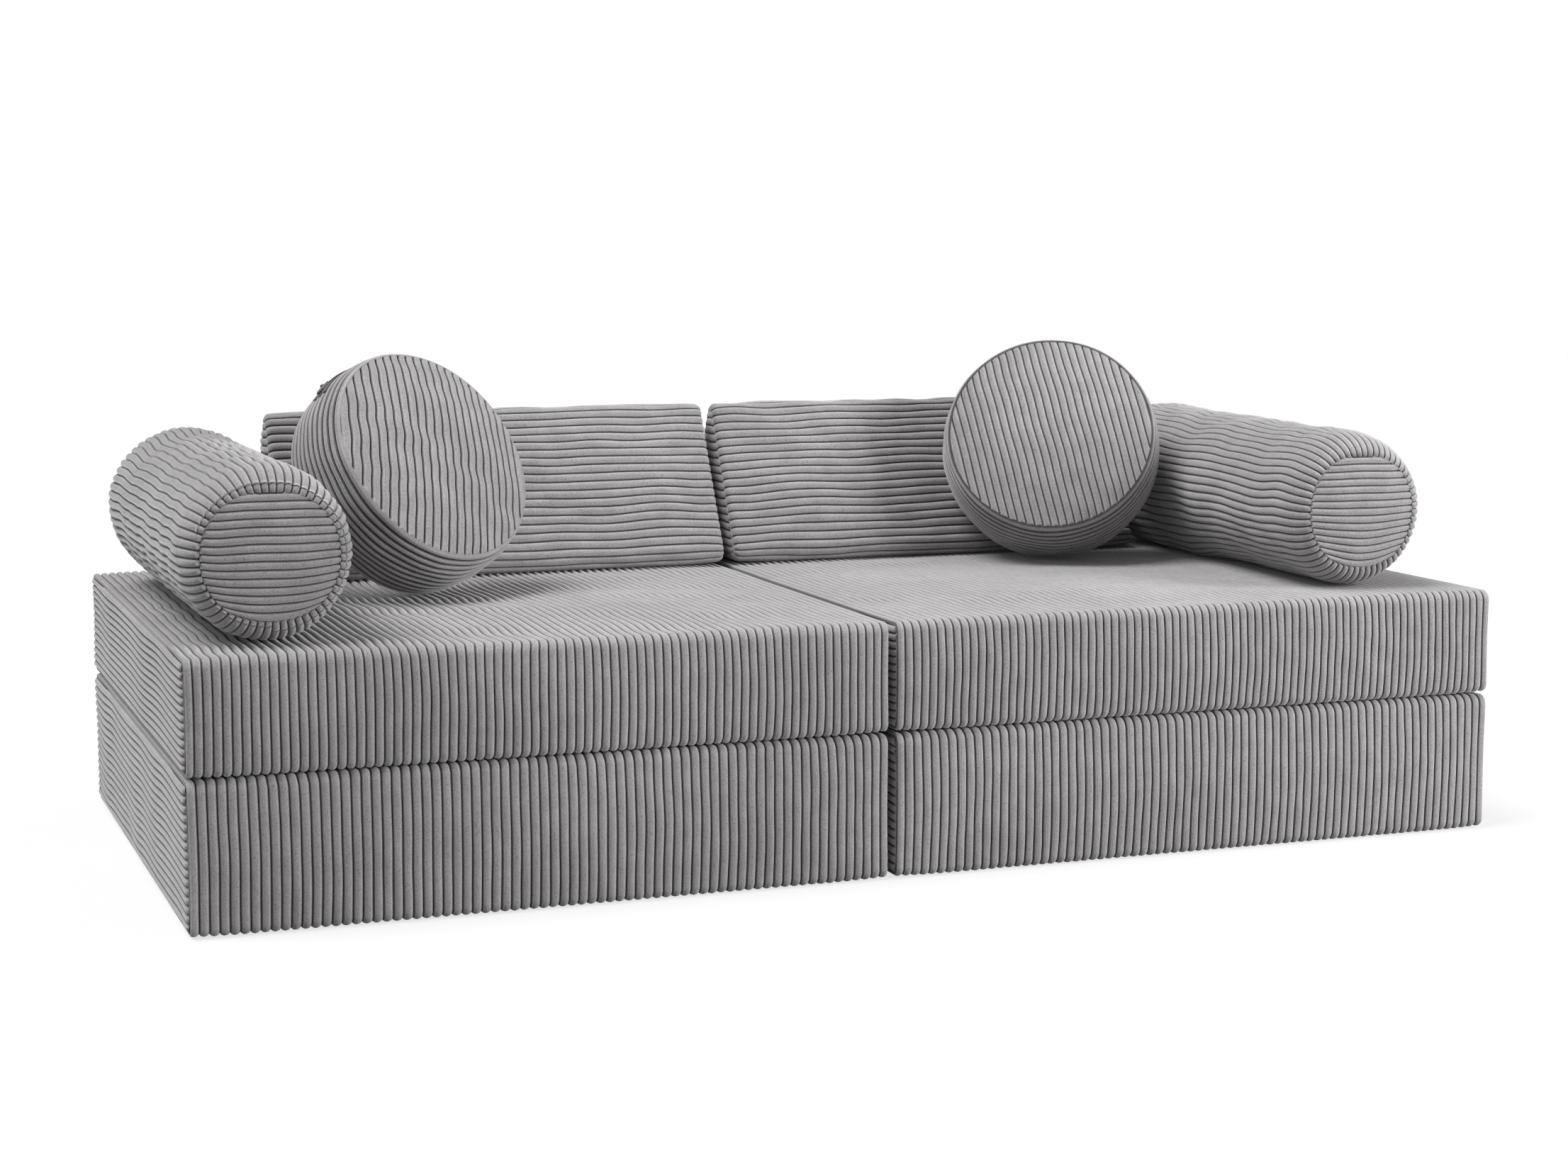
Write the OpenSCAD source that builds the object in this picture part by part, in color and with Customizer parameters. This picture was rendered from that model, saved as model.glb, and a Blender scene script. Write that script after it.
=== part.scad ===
// Modular lounge sofa of ten loose cushions in wide corduroy.
// Each half has a base block, a seat block, a wedge back cushion, a round bolster
// and a disc cushion. Every cushion has a foam core, a wadding wrap, a sewn cover
// and a zip with its slider, and lifts off the one below it.
// X runs to the right, Y to the back and Z up. The origin is the middle of the
// footprint, on the floor. The working places below count from the front left
// bottom corner of the blocks, and in_frame() moves them to the origin.

/* [Blocks] */
// Width of a block, over the crowns of its end panels
block_w = 800; // [740:10:860]
// Depth of a block, over the crowns of its front and back
block_d = 800; // [780:10:860]
// Height of a base block
base_h = 170; // [140:5:220]
// Height of a seat block
seat_h = 130; // [110:5:180]
// Gap between the left and the right blocks
block_gap = 3; // [2:0.5:12]
// Radius of the long rolled edges
block_roll_r = 19; // [18.5:0.5:28]
// Crown of the front and the back of a block
face_crown = 4; // [2:0.5:8]
// Crown of the sitting area
sit_crown = 3; // [1:0.5:6]
// Distance from the front of a block to the end of the sitting area
sit_d = 390; // [340:10:400]
// Width beside the outer end that a bolster keeps uncrowned
bolster_zone_w = 240; // [220:5:280]
// Crown of a base block's underside
sole_crown = 1.5; // [1:0.1:3]
// Depth to which the underside is pressed flat on the floor
sole_press = 0.5; // [0.3:0.1:0.9]

/* [Seams] */
// Crown of an end panel beyond its seam
panel_crown = 4; // [2:0.5:6]
// Radius of the roll beside an end seam
seam_roll_r = 8; // [6:0.5:9]
// Depth of the valley in which an end seam lies
seam_depth = 2; // [1:0.25:3]
// Half width of that valley
seam_half_w = 2; // [1.5:0.25:2.5]
// How far the sides are drawn in at an end seam
draw_in = 3; // [1.5:0.25:4]
// Length over which the sides are drawn in
draw_l = 70; // [50:5:100]

/* [Back wedges] */
// Depth of a wedge at its foot, between its sharp corners
wedge_d = 240; // [220:5:270]
// Height at which its two slopes would meet
wedge_peak = 231; // [210:3:270]
// Radius of its three rolled edges
wedge_roll_r = 18; // [17:0.5:22]
// Crown of a slope
wedge_crown = 5; // [2:0.5:8]
// Gap between the two wedges
wedge_gap = 6; // [3:0.5:12]
// How far right of the middle the two wedges meet
wedge_shift = 3.5; // [0:0.5:10]
// Gap between a wedge and the bolster beside it
wedge_room = 2; // [1:0.5:10]

/* [Bolsters] */
// Largest radius of a bolster
bolster_r = 97; // [90:1:105]
// Length of a bolster between its end seams
bolster_l = 650; // [580:10:680]
// Radius of an end seam
bolster_cap_r = 78; // [72:1:84]
// Length of the rounded shoulder beside an end seam
bolster_shoulder = 50; // [36:2:70]
// Crown of the tube along its length
bolster_barrel = 1; // [0.5:0.25:2]
// Crown of an end cap
bolster_cap_crown = 7; // [4:0.5:12]
// Distance of the left bolster from the outer end of its block
bolster_left_in = 10; // [4:1:20]
// Distance of the left bolster's front seam from the front
bolster_left_front = 50; // [40:5:90]
// Distance of the right bolster's front from the outer end of its block
bolster_right_in = 51; // [34:1:60]
// Distance of the right bolster's front seam from the front
bolster_right_front = 65; // [40:5:90]
// Turn of the right bolster, its back end outwards
bolster_right_turn = 4; // [0:0.1:4.2]

/* [Disc cushions] */
// Radius of a disc cushion at its two seams
disc_r = 139; // [125:1:155]
// Width of its band between the seams
disc_t = 106; // [90:2:124]
// Crown of the band beyond the seams
disc_band_crown = 8; // [4:0.5:12]
// Crown of the two faces
disc_face_crown = 12; // [6:1:20]
// Turn of the left disc towards the middle
disc_left_turn = 29.7; // [20:0.1:40]
// Lean of the left disc
disc_left_lean = 30.4; // [20:0.1:40]
// Distance of the left disc's middle in front of the wedges' foot
disc_left_ahead = 119; // [110:1:180]
// Turn of the right disc towards the middle
disc_right_turn = 27.1; // [20:0.1:35]
// Lean of the right disc
disc_right_lean = 27.8; // [20:0.1:35]
// Gap between the right disc and the right bolster
disc_room = 3; // [2:0.5:16]

/* [Filling] */
// Wall of a block's or a wedge's cover, with its lining
cover_t = 5; // [4.5:0.25:6]
// Wall of a round cushion's cover, with its lining
round_cover_t = 7; // [6.5:0.25:9]
// Thickness of the wadding round the foam
wadding_t = 12; // [8:1:20]

/* [Zips] */
// Width of a zip's tape
tape_w = 26; // [20:1:32]
// Thickness of the tape
tape_t = 1.2; // [0.8:0.1:1.6]
// Width of the closed chain
chain_w = 6; // [4:0.5:8]
// Height of the chain above the tape
chain_t = 2; // [1.5:0.1:2.4]
// Length of a slider
slider_l = 16; // [12:1:20]
// Thickness of a slider's side walls
slider_wall = 1.8; // [1.2:0.1:2.4]
// Thickness of a slider's top plate
slider_plate_t = 1.2; // [0.8:0.1:1.6]
// Radius of the bridge on a slider
bridge_r = 2.4; // [2:0.1:3]
// Width of the bridge
bridge_w = 3; // [2:0.25:4]
// Length of a stop at the end of a chain
stop_l = 4; // [3:0.5:6]
// Length of a block's zip
block_zip_l = 640; // [500:10:640]
// Length of a wedge's zip
wedge_zip_l = 430; // [360:10:440]
// Length of a bolster's zip
bolster_zip_l = 480; // [380:10:500]
// Arc of a disc's zip over the top of its band
disc_zip_arc = 80; // [60:2:110]

/* [Clearances] */
// Gap between a cushion and what it rests or leans on
rest_gap = 0.3; // [0.2:0.1:0.6]
// Gap between the cover, the wadding and the foam
fill_gap = 0.3; // [0.2:0.1:0.5]
// Gap round a slider and under the tape
zip_gap = 0.3; // [0.2:0.1:0.5]

/* [Hidden] */

corduroy = [0.70, 0.69, 0.67];
foam_cream = [0.93, 0.88, 0.72];
wadding_white = [0.96, 0.96, 0.95];
zip_grey = [0.45, 0.45, 0.45];
slider_grey = [0.60, 0.60, 0.62];

$fn = 96;
// How far a cut runs past the surface that it opens
cut_over = 20;
// How far a fused piece sinks into the one that carries it
fuse = 0.3;
// Steps of a rolled edge, of a crown and of a seam's roll
roll_steps = 3;
crown_steps = 4;
sit_steps = 6;
// Sizes of an end panel's rings and places along the drawn in length
panel_shares = [0.4, 0.75, 1];
draw_shares = [0.3, 0.65, 1];
// Steps round a disc at which its leaning contact is worked out
contact_steps = 144;

// Layers inside a cushion, as distances from the outer faces
wadding_in = cover_t + fill_gap;
hole_in = wadding_in + wadding_t;
foam_in = hole_in + fill_gap;
round_wadding_in = round_cover_t + fill_gap;
round_hole_in = round_wadding_in + wadding_t;
round_foam_in = round_hole_in + fill_gap;
// Distance from the outer end of a cushion to its filling
end_wall = panel_crown + seam_roll_r;

// Heights of a zip above the cover's surface, with the chain flush with it
recess_floor = -zip_gap - tape_t - chain_t;
tape_bottom = -tape_t - chain_t;
leg_bottom = -chain_t + zip_gap;
plate_bottom = zip_gap;
plate_top = plate_bottom + slider_plate_t;
slider_rise = plate_top + bridge_r;
slider_w = chain_w + 2 * zip_gap + 2 * slider_wall;

total_w = 2 * block_w + block_gap;
total_d = block_d + slider_rise;
seat_z = base_h + rest_gap;
seat_top = seat_z + seat_h;
rest_z = seat_top + rest_gap;

// Bolster axes
bolster_z = rest_z + bolster_r;
bolster_left_x = bolster_left_in + bolster_r;
bolster_right_x = total_w - bolster_right_in - bolster_r;

// Wedge section: angle of a slope from upright, and the centres of its three rolls
slope_angle = atan(wedge_d / 2 / wedge_peak);
foot_angle = 90 - slope_angle;
wedge_y = block_d - wedge_d;
front_roll = [wedge_roll_r / tan(foot_angle / 2), wedge_roll_r];
back_roll = [wedge_d - front_roll[0], wedge_roll_r];
top_roll = [wedge_d / 2, wedge_peak - wedge_roll_r / sin(slope_angle)];
wedge_top = top_roll[1] + wedge_roll_r;

function add(p, q) = [for (i = [0:len(p) - 1]) p[i] + q[i]];
function backwards(list) = [for (i = [len(list) - 1:-1:0]) list[i]];
function blend(p, q, share) = [for (i = [0:len(p) - 1]) p[i] * (1 - share) + q[i] * share];

// A section is a list of points [y, z, normal y, normal z, crown y, crown z, sit crown]
// that runs counter-clockwise as seen from the right.
function roll_points(centre, r, from, to, steps) = [
  for (i = [0:steps])
    let (a = from + (to - from) * i / steps)
      [centre[0] + r * cos(a), centre[1] + r * sin(a), cos(a), sin(a), 0, 0, 0]
];
function side_points(from, to, angle, crown, steps) = [
  for (i = [1:steps - 1])
    let (p = blend(from, to, i / steps))
      let (lift = crown * (1 - pow(2 * i / steps - 1, 2)))
        [p[0], p[1], cos(angle), sin(angle), lift * cos(angle), lift * sin(angle), 0]
];

// Crown of the sitting area along the depth, as points from the back to the front
function sit_points(y0, z) = [
  for (i = [sit_steps:-1:1])
    let (v = 2 * i / sit_steps - 1)
      [y0 + (sit_d - y0) * i / sit_steps, z, 0, 1, 0, 0, sit_crown * pow(1 - v * v, 2)]
];

function block_section(z0, z1, sole, sit) =
  let (r = block_roll_r)
  let (y0 = face_crown + r)
  let (y1 = block_d - face_crown - r)
  let (front = face_crown)
  let (back = block_d - face_crown)
  concat(
    roll_points([y1, z0 + r], r, -90, 0, roll_steps),
    side_points([back, z0 + r], [back, z1 - r], 0, face_crown, crown_steps),
    roll_points([y1, z1 - r], r, 0, 90, roll_steps),
    sit ? sit_points(y0, z1) : [],
    roll_points([y0, z1 - r], r, 90, 180, roll_steps),
    side_points([front, z1 - r], [front, z0 + r], 180, face_crown, crown_steps),
    roll_points([y0, z0 + r], r, 180, 270, roll_steps),
    sole > 0 ? side_points([y0, z0], [y1, z0], 270, sole, crown_steps) : []
  );

function wedge_section(r) =
  concat(
    roll_points(back_roll, r, -90, slope_angle, crown_steps),
    side_points(
      add(back_roll, [r * cos(slope_angle), r * sin(slope_angle)]),
      add(top_roll, [r * cos(slope_angle), r * sin(slope_angle)]),
      slope_angle, wedge_crown, crown_steps),
    roll_points(top_roll, r, slope_angle, 180 - slope_angle, crown_steps),
    side_points(
      add(top_roll, [-r * cos(slope_angle), r * sin(slope_angle)]),
      add(front_roll, [-r * cos(slope_angle), r * sin(slope_angle)]),
      180 - slope_angle, wedge_crown, crown_steps),
    roll_points(front_roll, r, 180 - slope_angle, 270, crown_steps)
  );

// A station is [distance from the end, inset, crown factor, panel size, sit factor]
function draw_at(t) = pow(max(0, 1 - (t - panel_crown) / draw_l), 2);
function end_stations() = concat(
  [for (s = panel_shares)
    [panel_crown * s * s, seam_roll_r + 2 * seam_half_w + draw_in, 0, s, 0]],
  [[panel_crown + seam_depth, seam_roll_r + seam_half_w + draw_in, 0, 1, 0]],
  [for (a = [0:45:90])
    let (t = end_wall - seam_roll_r * cos(a))
      [t, seam_roll_r * (1 - sin(a)) + draw_in * draw_at(t), 1 - draw_at(t), 1, 0]],
  [for (share = draw_shares)
    let (t = end_wall + (draw_l - seam_roll_r) * share)
      [t, draw_in * draw_at(t), 1 - draw_at(t), 1, 0]]
);
function far_stations(l) = [
  for (at = backwards(end_stations())) [l - at[0], at[1], at[2], at[3], at[4]]
];
function sit_stations(l) = [
  for (i = [0:sit_steps])
    let (w = 2 * i / sit_steps - 1)
      [bolster_zone_w + (l - panel_crown - draw_l - seam_roll_r - bolster_zone_w) * i / sit_steps,
        0, 1, 1, pow(1 - w * w, 2)]
];

// The ring of a section at a station, drawn towards the centre of its end panel
function ring(section, centre, at) = [
  for (p = section)
    let (y = p[0] + at[2] * p[4] - at[1] * p[2])
      let (z = p[1] + at[2] * p[5] + at[4] * p[6] - at[1] * p[3])
        [at[0], centre[0] + at[3] * (y - centre[0]), centre[1] + at[3] * (z - centre[1])]
];

// Closed body through rings, with a point at the middle of each end panel
module ringed_body(section, centre, stations, l) {
  rings = [for (at = stations) ring(section, centre, at)];
  n = len(section);
  last = len(rings) - 1;
  near_tip = [[0, centre[0], centre[1]]];
  far_tip = [[l, centre[0], centre[1]]];
  points = concat(near_tip, [for (r = rings) each r], far_tip);
  far = len(points) - 1;
  faces = concat(
    [for (j = [0:n - 1]) [0, 1 + j, 1 + (j + 1) % n]],
    [for (i = [0:last - 1])
      for (j = [0:n - 1])
        let (a = 1 + i * n + j)
          let (b = 1 + i * n + (j + 1) % n)
            each [[a, a + n, b + n], [a, b + n, b]]],
    [for (j = [0:n - 1]) [far, 1 + last * n + (j + 1) % n, 1 + last * n + j]]
  );
  polyhedron(points = points, faces = faces);
}

// Moves the working places to the origin, and the right half's blocks to their side
module in_frame() {
  translate([-total_w / 2, -total_d / 2, 0]) children();
}
module on_side(right) {
  if (right) translate([total_w, 0, 0]) mirror([1, 0, 0]) children();
  else children();
}

// Straight bar along X whose section in Y and Z has rounded corners
module rounded_bar(l, y0, y1, z0, z1, r) {
  rotate([90, 0, 90])
    linear_extrude(l) {
      translate([y0 + r, z0]) square([y1 - y0 - 2 * r, z1 - z0]);
      translate([y0, z0 + r]) square([y1 - y0, z1 - z0 - 2 * r]);
      for (y = [y0 + r, y1 - r]) for (z = [z0 + r, z1 - r]) translate([y, z]) circle(r);
    }
}

// Filling space of a block at a distance inside its outer faces
module block_room(z0, h, inset) {
  translate([end_wall + inset - cover_t, 0, 0])
    rounded_bar(
      block_w - 2 * (end_wall + inset - cover_t),
      face_crown + inset, block_d - face_crown - inset,
      z0 + inset, z0 + h - inset, block_roll_r - inset);
}
module block_core(z0, h, inset) {
  x = end_wall + inset - cover_t;
  y = face_crown + inset;
  translate([x, y, z0 + inset])
    cube([block_w - 2 * x, block_d - 2 * y, h - 2 * inset]);
}
module block_wadding(z0, h) {
  difference() {
    block_room(z0, h, wadding_in);
    block_core(z0, h, hole_in);
  }
}
module block_back(z0, h) {
  translate([block_w / 2, block_d, z0 + h / 2]) rotate([-90, 0, 0]) children();
}
module base_shell() {
  centre = [block_d / 2, base_h / 2];
  sole_z = sole_crown - sole_press;
  difference() {
    ringed_body(block_section(sole_z, base_h, sole_crown, false), centre,
      concat(end_stations(), far_stations(block_w)), block_w);
    block_room(0, base_h, cover_t);
    translate([-cut_over, -cut_over, -cut_over])
      cube([block_w + 2 * cut_over, block_d + 2 * cut_over, cut_over]);
    block_back(0, base_h) zip_recess(block_zip_l);
  }
}
module seat_shell() {
  centre = [block_d / 2, seat_z + seat_h / 2];
  difference() {
    ringed_body(block_section(seat_z, seat_top, 0, true), centre,
      concat(end_stations(), sit_stations(block_w), far_stations(block_w)), block_w);
    block_room(seat_z, seat_h, cover_t);
    block_back(seat_z, seat_h) zip_recess(block_zip_l);
  }
}

// Wedge section at a distance inside its outer faces, rounded or sharp
module wedge_outline(inset) {
  r = wedge_roll_r - inset;
  reach = [r * cos(slope_angle), r * sin(slope_angle)];
  for (c = [front_roll, back_roll, top_roll]) translate(c) circle(r);
  polygon([
    add(front_roll, [0, -r]), add(back_roll, [0, -r]),
    add(back_roll, reach), add(top_roll, reach),
    add(top_roll, [-reach[0], reach[1]]), add(front_roll, [-reach[0], reach[1]])
  ]);
}
module wedge_sharp(inset) {
  foot = inset / tan(foot_angle / 2);
  polygon([[foot, inset], [wedge_d - foot, inset], [wedge_d / 2, wedge_peak - inset / sin(slope_angle)]]);
}
module wedge_space(l, inset) {
  x = end_wall + inset - cover_t;
  translate([x, wedge_y, rest_z]) rotate([90, 0, 90]) linear_extrude(l - 2 * x) children();
}
module wedge_room_at(l, inset) {
  wedge_space(l, inset) wedge_outline(inset);
}
module wedge_core(l, inset) {
  wedge_space(l, inset) wedge_sharp(inset);
}
module wedge_wadding(l) {
  difference() {
    wedge_room_at(l, wadding_in);
    wedge_core(l, hole_in);
  }
}
// Place of a wedge's zip: a share of the way up the back slope, on its crown
wedge_zip_share = 0.34;
module wedge_back(l) {
  lean = [cos(slope_angle), sin(slope_angle)];
  p = blend(add(back_roll, lean * wedge_roll_r), add(top_roll, lean * wedge_roll_r), wedge_zip_share);
  crown = wedge_crown * (1 - pow(2 * wedge_zip_share - 1, 2));
  translate([l / 2, wedge_y + p[0] + crown * lean[0], rest_z + p[1] + crown * lean[1]])
    rotate([slope_angle - 90, 0, 0]) children();
}
module wedge_shell(l) {
  centre = [wedge_d / 2, wedge_top / 3];
  difference() {
    translate([0, wedge_y, rest_z])
      ringed_body(wedge_section(wedge_roll_r), centre,
        concat(end_stations(), far_stations(l)), l);
    wedge_room_at(l, cover_t);
    wedge_back(l) zip_recess(wedge_zip_l);
  }
}

// Straight zip along X with its outer side towards Z and its chain flush with Z = 0
module zip_recess(l) {
  translate([-l / 2 - zip_gap, -tape_w / 2 - zip_gap, recess_floor])
    cube([l + 2 * zip_gap, tape_w + 2 * zip_gap, cut_over]);
}
module zip_band(l) {
  chain_l = l - 2 * stop_l;
  translate([-l / 2, -tape_w / 2, tape_bottom]) cube([l, tape_w, tape_t]);
  rotate([90, 0, 90])
    translate([0, 0, -chain_l / 2])
      linear_extrude(chain_l)
        polygon([
          [-chain_w / 2, -chain_t - fuse], [chain_w / 2, -chain_t - fuse],
          [chain_w / 2, -chain_t / 2], [chain_w / 2 - chain_t / 2, 0],
          [-chain_w / 2 + chain_t / 2, 0], [-chain_w / 2, -chain_t / 2]
        ]);
  for (end = [-1, 1])
    translate([end * (chain_l - stop_l) / 2, 0, slider_plate_t / 2 - chain_t / 2 - fuse / 2])
      cube([stop_l, chain_w + 2 * slider_plate_t, chain_t + slider_plate_t + fuse], center = true);
}
function slider_travel(l) = l - 4 * stop_l - slider_l - 2 * zip_gap;
module slider_section() {
  polygon([
    [-slider_w / 2, leg_bottom], [-slider_w / 2 + slider_wall, leg_bottom],
    [-slider_w / 2 + slider_wall, plate_bottom], [slider_w / 2 - slider_wall, plate_bottom],
    [slider_w / 2 - slider_wall, leg_bottom], [slider_w / 2, leg_bottom],
    [slider_w / 2, plate_top - slider_plate_t / 2], [slider_w / 2 - slider_plate_t / 2, plate_top],
    [-slider_w / 2 + slider_plate_t / 2, plate_top], [-slider_w / 2, plate_top - slider_plate_t / 2]
  ]);
}
module slider_bridge() {
  hole_r = bridge_r - slider_plate_t;
  intersection() {
    rotate([90, 0, 0])
      difference() {
        cylinder(h = bridge_w, r = bridge_r, center = true);
        cylinder(h = bridge_w + cut_over, r = hole_r, center = true);
      }
    translate([-bridge_r, -bridge_w, -fuse]) cube([2 * bridge_r, 2 * bridge_w, bridge_r + 2 * fuse]);
  }
}
module zip_slider(l) {
  translate([slider_travel(l) / 2, 0, 0]) {
    intersection() {
      rotate([90, 0, 90]) translate([0, 0, -slider_l / 2]) linear_extrude(slider_l) slider_section();
      translate([0, 0, leg_bottom]) linear_extrude(cut_over) {
        translate([-slider_l / 2, -slider_w / 2]) square([slider_l - slider_w / 2, slider_w]);
        translate([slider_l / 2 - slider_w / 2, 0]) circle(slider_w / 2);
      }
    }
    translate([0, 0, plate_top]) slider_bridge();
  }
}

// Bolster outline from its axis: end cap, seam valley, shoulder and tube
function shoulder_points(side) = [
  for (a = [0:15:90])
    [bolster_cap_r + (bolster_r - bolster_barrel - bolster_cap_r) * sin(a),
      side * (bolster_l / 2 - bolster_shoulder * (1 - cos(a)))]
];
function cap_points(side) = [
  for (share = [0:0.2:1])
    [(bolster_cap_r - 2 * seam_half_w) * share,
      side * (bolster_l / 2 + bolster_cap_crown * (1 - pow(share, 3)))]
];
function tube_points() = [
  for (share = [-0.75:0.25:0.75])
    [bolster_r - bolster_barrel * share * share, share * (bolster_l / 2 - bolster_shoulder)]
];
module bolster_solid() {
  valley = bolster_l / 2 - seam_depth;
  rotate_extrude()
    polygon(concat(
      cap_points(-1), [[bolster_cap_r - seam_half_w, -valley]], shoulder_points(-1),
      tube_points(),
      backwards(shoulder_points(1)), [[bolster_cap_r - seam_half_w, valley]],
      backwards(cap_points(1))
    ));
}
module bolster_room(inset) {
  end = bolster_l / 2 - inset;
  neck = bolster_l / 2 - bolster_shoulder;
  rotate_extrude()
    polygon([
      [0, -end], [bolster_cap_r - inset, -end], [bolster_r - inset, -neck],
      [bolster_r - inset, neck], [bolster_cap_r - inset, end], [0, end]
    ]);
}
// A bolster's zip lies on the lower half of its tube, 45 degrees below the right side
module bolster_flank() {
  rotate([0, 0, 45]) translate([bolster_r, 0, 0]) rotate([0, 90, 0]) children();
}
module bolster_shell() {
  difference() {
    bolster_solid();
    bolster_room(round_cover_t);
    bolster_flank() zip_recess(bolster_zip_l);
  }
}
module bolster_wadding() {
  difference() {
    bolster_room(round_wadding_in);
    bolster_room(round_hole_in);
  }
}
module place_bolster(right) {
  x = right ? bolster_right_x : bolster_left_x;
  y = right ? bolster_right_front : bolster_left_front;
  translate([x, y, bolster_z])
    rotate([0, 0, right ? -bolster_right_turn : 0])
      translate([0, bolster_l / 2, 0]) rotate([-90, 0, 0]) children();
}

// Disc outline in its own frame, with its axis along Z, as [radius, height]
function face_points(side) = [
  for (share = [0:0.2:1])
    [(disc_r - 2 * seam_half_w) * share, side * (disc_t / 2 + disc_face_crown * (1 - pow(share, 3)))]
];
function band_points() = [
  for (share = [-1:0.25:1])
    [disc_r + disc_band_crown * (1 - share * share), share * disc_t / 2]
];
disc_outline = concat(
  face_points(-1), [[disc_r - seam_half_w, seam_depth - disc_t / 2]], band_points(),
  [[disc_r - seam_half_w, disc_t / 2 - seam_depth]], backwards(face_points(1))
);
module disc_room(inset) {
  cylinder(h = disc_t - 2 * inset, r = disc_r - inset, center = true);
}
module disc_wadding() {
  difference() {
    disc_room(round_wadding_in);
    disc_room(round_hole_in);
  }
}
// Ring segment round a disc's axis, centred on the top of its band
module band_arc(arc, r0, r1, w) {
  rotate([0, 0, 90 - arc / 2])
    rotate_extrude(angle = arc) translate([r0, -w / 2]) square([r1 - r0, w]);
}
disc_band_r = disc_r + disc_band_crown;
function band_angle(l) = l / disc_band_r * 180 / PI;
stop_arc = band_angle(stop_l);
chain_arc = disc_zip_arc - 2 * stop_arc;
slider_arc = band_angle(slider_l);
disc_travel = chain_arc - 2 * stop_arc - slider_arc - 2 * band_angle(zip_gap);
module disc_shell() {
  difference() {
    rotate_extrude() polygon(disc_outline);
    disc_room(round_cover_t);
    band_arc(disc_zip_arc + 2 * band_angle(zip_gap), disc_band_r + recess_floor,
      disc_band_r + cut_over, tape_w + 2 * zip_gap);
  }
}
module disc_zip_band() {
  band_arc(disc_zip_arc, disc_band_r + tape_bottom, disc_band_r - chain_t, tape_w);
  band_arc(chain_arc, disc_band_r - chain_t - fuse, disc_band_r, chain_w);
  for (end = [-1, 1])
    rotate([0, 0, end * (chain_arc - stop_arc) / 2])
      band_arc(stop_arc, disc_band_r - chain_t - fuse, disc_band_r + slider_plate_t,
        chain_w + 2 * slider_plate_t);
}
module disc_zip_slider() {
  rotate([0, 0, disc_travel / 2]) {
    difference() {
      band_arc(slider_arc, disc_band_r + leg_bottom, disc_band_r + plate_top, slider_w);
      band_arc(2 * slider_arc, disc_band_r - chain_t, disc_band_r + plate_bottom,
        slider_w - 2 * slider_wall);
    }
    translate([0, disc_band_r + plate_top, 0])
      rotate([-90, 90, 0]) slider_bridge();
  }
}

// Where the outline's points lie round a disc's middle when it leans and turns
function disc_points(turn, lean) = [
  for (p = disc_outline)
    for (i = [0:contact_steps - 1])
      let (a = 360 * i / contact_steps)
        let (x = p[0] * cos(a))
          let (y = p[0] * sin(a) * sin(lean) - p[1] * cos(lean))
            [x * cos(turn) - y * sin(turn), x * sin(turn) + y * cos(turn),
              p[0] * sin(a) * cos(lean) + p[1] * sin(lean)]
];
function drop(points) = -min([for (p = points) p[2]]);

// Height of a disc's middle so that its lowest point rests on the seat
left_points = disc_points(disc_left_turn, disc_left_lean);
right_points = disc_points(-disc_right_turn, disc_right_lean);
disc_left_z = rest_z + drop(left_points);
disc_right_z = rest_z + drop(right_points);

// Half width of a bolster at a height, with a gap round it
function bolster_half(z, gap) =
  let (dz = z - bolster_z)
    abs(dz) < bolster_r + gap ? sqrt(pow(bolster_r + gap, 2) - dz * dz) : 0;
function beside(z) = abs(z - bolster_z) < bolster_r;

// The left disc leans on the left bolster
disc_left_x = max([
  for (p = left_points)
    if (beside(disc_left_z + p[2]))
      bolster_left_x + bolster_half(disc_left_z + p[2], rest_gap) - p[0]
]);

// The right disc leans on the front slope of the right wedge
front_slope = [
  for (p = wedge_section(wedge_roll_r))
    if (p[2] < 0) [p[1] + p[5], p[0] + p[4]]
];
slope_from_foot = backwards(front_slope);
function front_at(z) = wedge_y + lookup(z - rest_z, slope_from_foot);
disc_right_back = min([
  for (p = right_points)
    if (disc_right_z + p[2] < rest_z + top_roll[1] + wedge_roll_r)
      front_at(disc_right_z + p[2]) - rest_gap / cos(slope_angle) - p[1]
]);

// The right disc stands clear of the right bolster, whose axis turns outwards to the back
disc_right_x = min([
  for (p = right_points)
    if (beside(disc_right_z + p[2]))
      bolster_right_x
        + (disc_right_back + p[1] - bolster_right_front) * tan(bolster_right_turn)
        - bolster_half(disc_right_z + p[2], disc_room) / cos(bolster_right_turn) - p[0]
]);

module place_disc(right) {
  place = right
    ? [disc_right_x, disc_right_back, disc_right_z]
    : [disc_left_x, wedge_y - disc_left_ahead, disc_left_z];
  translate(place)
    rotate([90 - (right ? disc_right_lean : disc_left_lean), 0,
        right ? -disc_right_turn : disc_left_turn])
      children();
}

// The wedges fill the space between the two bolsters
wedge_meet = total_w / 2 + wedge_shift;
wedge_left_x = bolster_left_x + bolster_r + wedge_room;
wedge_left_l = wedge_meet - wedge_gap / 2 - wedge_left_x;
wedge_right_x = wedge_meet + wedge_gap / 2;
// Nearest depth at which the right bolster is as high as its widest point
wedge_front_y = front_at(bolster_z);
bolster_inner_x = bolster_right_x
  + (wedge_front_y - bolster_right_front) * tan(bolster_right_turn)
  - bolster_r / cos(bolster_right_turn);
wedge_right_l = bolster_inner_x - wedge_room - wedge_right_x;
module place_wedge(right) {
  translate([right ? wedge_right_x : wedge_left_x, 0, 0]) children();
}

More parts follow.
